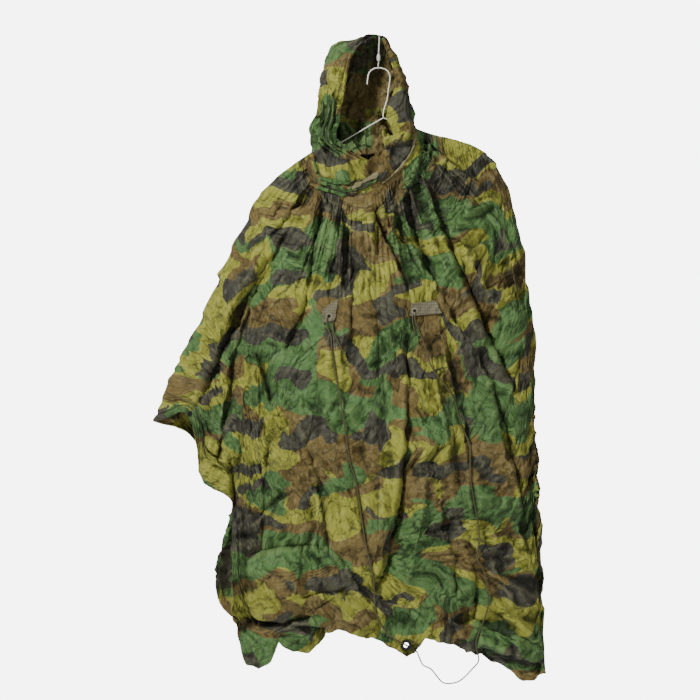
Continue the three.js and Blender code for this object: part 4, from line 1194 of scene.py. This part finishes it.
# Ribbons: tape, piping and flaps laid on the cloth along a route seen from the front
def front_cloth_tree():
    """Finds the front-most cloth at a place seen from the front"""
    points = []
    for piece in (front, hood_left, hood_right, throat):
        places = vertex_places(piece)
        points.append(places[(places[:, 1] < 0.03) & (places[:, 2] > -0.45)])
    points = np.concatenate(points)
    tree = KDTree(len(points))
    for i, (x, y, z) in enumerate(points):
        tree.insert((x, 0, z), i)
    tree.balance()
    return tree, points


CLOTH_TREE, CLOTH_POINTS = front_cloth_tree()


def cloth_y(x, z, reach=0.005):
    """How far forward the cloth lies at a place seen from the front"""
    near = [CLOTH_POINTS[i][1] for _, i, _ in CLOTH_TREE.find_range((x, 0, z), reach)]
    return min(near) if near else CLOTH_POINTS[CLOTH_TREE.find((x, 0, z))[1]][1]


def ribbon(name, node, route, width, lift, plump, material, seed, crumple=1.0):
    """A flattened roll of cloth or tape, with its own small crumples, that lies on the cloth"""
    line, run = evenly([(x * MM, 0, z * MM) for x, z in route], RIBBON_STEP)
    line[:, 1] = [cloth_y(x, z) for x, _, z in line]
    pad = np.pad(line[:, 1], 4, mode="edge")
    line[:, 1] = np.minimum(np.convolve(pad, np.ones(9) / 9, mode="valid"), line[:, 1] + 0.002)
    ahead = unit(np.gradient(line, axis=0))
    side = unit(np.cross(ahead, np.broadcast_to((0.0, 1.0, 0.0), ahead.shape)))
    out = unit(np.cross(side, ahead))
    out = out * np.where(out[:, 1:2] > 0, -1, 1)
    spin = np.linspace(0, 2 * math.pi, RIBBON_SIDES + 1)
    k = run / run[-1]
    ends = np.sqrt(np.clip(1 - (2 * k - 1) ** 12, 0, 1))[:, None]
    lane = pair(run, 0)
    pinch = 1 + 0.3 * crumple * lattice(lane, 0.012, seed, True)[:, None]
    across = 0.5 * width * pinch * np.cos(spin)[None, :] * (0.5 + 0.5 * ends)
    place = pair(run[:, None], width * np.cos(spin)[None, :])
    rough = 0.0011 * crumple * lattice(place, 0.006, seed + 1, True)
    height = lift + plump * (0.5 + 0.5 * np.sin(spin))[None, :] * ends + rough
    points = line[:, None] + side[:, None] * across[..., None] + out[:, None] * height[..., None]
    spots = pair(run[:, None], width * spin[None, :] / 3.14)
    marks = {"ridge": 0 * height, "hollow": 0 * height, "hem": 1 + 0 * height}
    piece = grid_mesh(name, points, spots, material, -1, marks)
    merge(piece)
    if node:
        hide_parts(node)
    return piece


flap = ribbon("throat_flap_fold", "throat_flap",
              ((-150, -352), (-128, -366), (-104, -374), (-82, -380), (-62, -380), (-34, -366), (-16, -352)),
              0.017, 0.001, 0.004, HOOD_CLOTH, 71)
tape = ribbon("throat_tape_woven", "throat_tape",
              ((-74, -384), (-60, -374), (-44, -366), (-28, -357), (-14, -350), (-2, -342)),
              0.009, 0.005, 0.0018, TAPE, 72)
piping = ribbon("collar_tape_woven", "collar_tape",
                ((4, -368), (18, -357), (34, -343), (50, -327), (64, -309), (76, -290), (83, -268),
                 (86, -244)), 0.005, 0.001, 0.0022, TAPE, 73)
knot_rolls = [
    ribbon("throat_roll_high", None,
           ((-162, -340), (-140, -354), (-116, -362), (-92, -367), (-70, -367), (-48, -356)),
           0.009, 0.001, 0.0045, HOOD_CLOTH, 75, 1.4),
    ribbon("throat_roll_low", None,
           ((-170, -364), (-146, -376), (-122, -384), (-98, -391), (-74, -394), (-52, -388)),
           0.008, 0.001, 0.004, HOOD_CLOTH, 76, 1.4),
    ribbon("throat_roll_right", None,
           ((-96, -372), (-70, -378), (-42, -376), (-16, -364), (4, -352), (20, -336)),
           0.010, 0.001, 0.004, HOOD_CLOTH, 77, 1.4)]
neck_seam = ribbon("neck_seam_roll", None,
                   ((-163, -286), (-160, -304), (-155, -326), (-147, -350), (-133, -368), (-112, -379),
                    (-92, -386), (-70, -389), (-50, -388)), 0.006, 0.0005, 0.004, HOOD_CLOTH, 74)


# Waist tabs: frayed scraps of webbing, each with an eyelet for the cord
def webbing_tab(name, node, corners, eyelet, seed):
    """A four-cornered scrap of webbing: corners run round from the top left, in millimetres"""
    fit, front_face = node_plane(node)
    corners = np.array(corners, float) * MM
    a, b = np.linspace(0, 1, TAB_COLUMNS)[:, None, None], np.linspace(0, 1, TAB_LINES)[None, :, None]
    flat = mix(mix(corners[0], corners[1], a), mix(corners[3], corners[2], a), b)
    edge = np.minimum(np.minimum(a, 1 - a), np.minimum(b, 1 - b))[..., 0]
    frayed = np.random.default_rng(seed).normal(size=flat.shape) * TAB_FRAY
    place = flat + frayed * (1 - smooth(0, 0.03, edge))[..., None]
    off = np.hypot(place[..., 0] - eyelet[0] * MM, place[..., 1] - eyelet[1] * MM)
    ring = bell(off, EYELET_RADIUS, 0.0016)
    # The eyelet's hole sinks in here, and the webbing's material paints it near black as painted shade
    well = 1 - smooth(0.0022, 0.0046, off)
    rise = 0.0012 * ring - 0.0024 * well + 0.0011 * lattice(place, 0.011, seed + 1, True)
    rise = rise + 0.0009 * bell(edge, 0.06, 0.02)
    y = fit[0] * place[..., 0] + fit[1] * place[..., 1] + fit[2] + front_face - 0.0006 - rise
    points = np.stack([place[..., 0], y, place[..., 1]], axis=-1)
    deep = TAB_THICKNESS * smooth(0, 0.03, np.minimum(b, 1 - b)) * np.ones(points.shape[:2] + (1,))
    rear = points + deep * (0, 1, 0)
    wrapped, spots, well, ring = [np.concatenate([near, far[::-1], near[:1]], axis=0) for near, far in
                                  ((points, rear), (flat, flat), (well, well), (ring, ring))]
    marks = {"well": well, "ring": ring}
    piece = grid_mesh(name, wrapped, spots, TAB_CLOTH, -1, marks)
    merge(piece)
    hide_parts(node)
    return piece


left_tab = webbing_tab("waist_tab_left_webbing", "waist_tab_left",
                       ((-140, -672), (-99, -643), (-108, -696), (-138, -704)), (-122, -687), 151)
right_tab = webbing_tab("waist_tab_right_webbing", "waist_tab_right",
                        ((74, -656), (136, -649), (149, -680), (72, -687)), (84, -674), 163)

# Finishes of the fittings that keep their solids
FINISHES = {WIRE: ("hanger_frame", "hanger_hook"), SNAP: (*SNAPS, "hem_grommet"),
            STRING: ("string_loop", "string_lower", "string_knot", "string_upper")}
for material, node_names in FINISHES.items():
    for node_name in node_names:
        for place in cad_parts[node_name].material_slots:
            place.material = material


# Studio: a pale floor below the hanging garment, soft lights, and a white surround
def seen_only(tree, seen, lit):
    """One strength for what the camera sees, and another for the light that falls on the garment"""
    camera_ray = put(tree, "ShaderNodeLightPath").outputs["Is Camera Ray"]
    return sums(tree, "MULTIPLY_ADD", camera_ray, seen - lit, lit)


def make_floor():
    """The floor, and its paper"""
    corners = [(-FLOOR_SIDE, -FLOOR_SIDE), (FLOOR_SIDE, -FLOOR_SIDE), (FLOOR_SIDE, FLOOR_BACK),
               (-FLOOR_SIDE, FLOOR_BACK)]
    material, tree, shader = blank("studio_paper", 0.9)
    shader.inputs["Base Color"].default_value = FLOOR_WHITE
    shader.inputs["Emission Color"].default_value = FLOOR_WHITE
    tree.links.new(seen_only(tree, FLOOR_SEEN, 0.0), shader.inputs["Emission Strength"])
    points = [(x, y, FLOOR_LEVEL) for x, y in corners]
    add_mesh("studio_floor", points, [(0, 1, 2, 3)], material)


def add_light(name, place, size, watts):
    """A round soft light that faces the middle of the garment and isn't seen itself"""
    light = bpy.data.lights.new(name, "AREA")
    light.shape = "DISK"
    light.size = size
    light.energy = watts
    lamp = bpy.data.objects.new(name, light)
    lamp.location = place
    lamp.rotation_euler = (Vector(MIDDLE) - Vector(place)).to_track_quat("-Z", "Y").to_euler()
    lamp.visible_camera = False
    bpy.context.collection.objects.link(lamp)


def make_surround():
    """The white world round the scene"""
    world = bpy.data.worlds.new("studio")
    world.use_nodes = True
    surround = world.node_tree.nodes["Background"]
    surround.inputs["Color"].default_value = SURROUND_WHITE
    strength = seen_only(world.node_tree, SURROUND_SEEN, SURROUND_GLOW)
    world.node_tree.links.new(strength, surround.inputs["Strength"])
    bpy.context.scene.world = world


make_floor()
for name, place, size, watts in LIGHTS:
    add_light(name, place, size, watts)
make_surround()
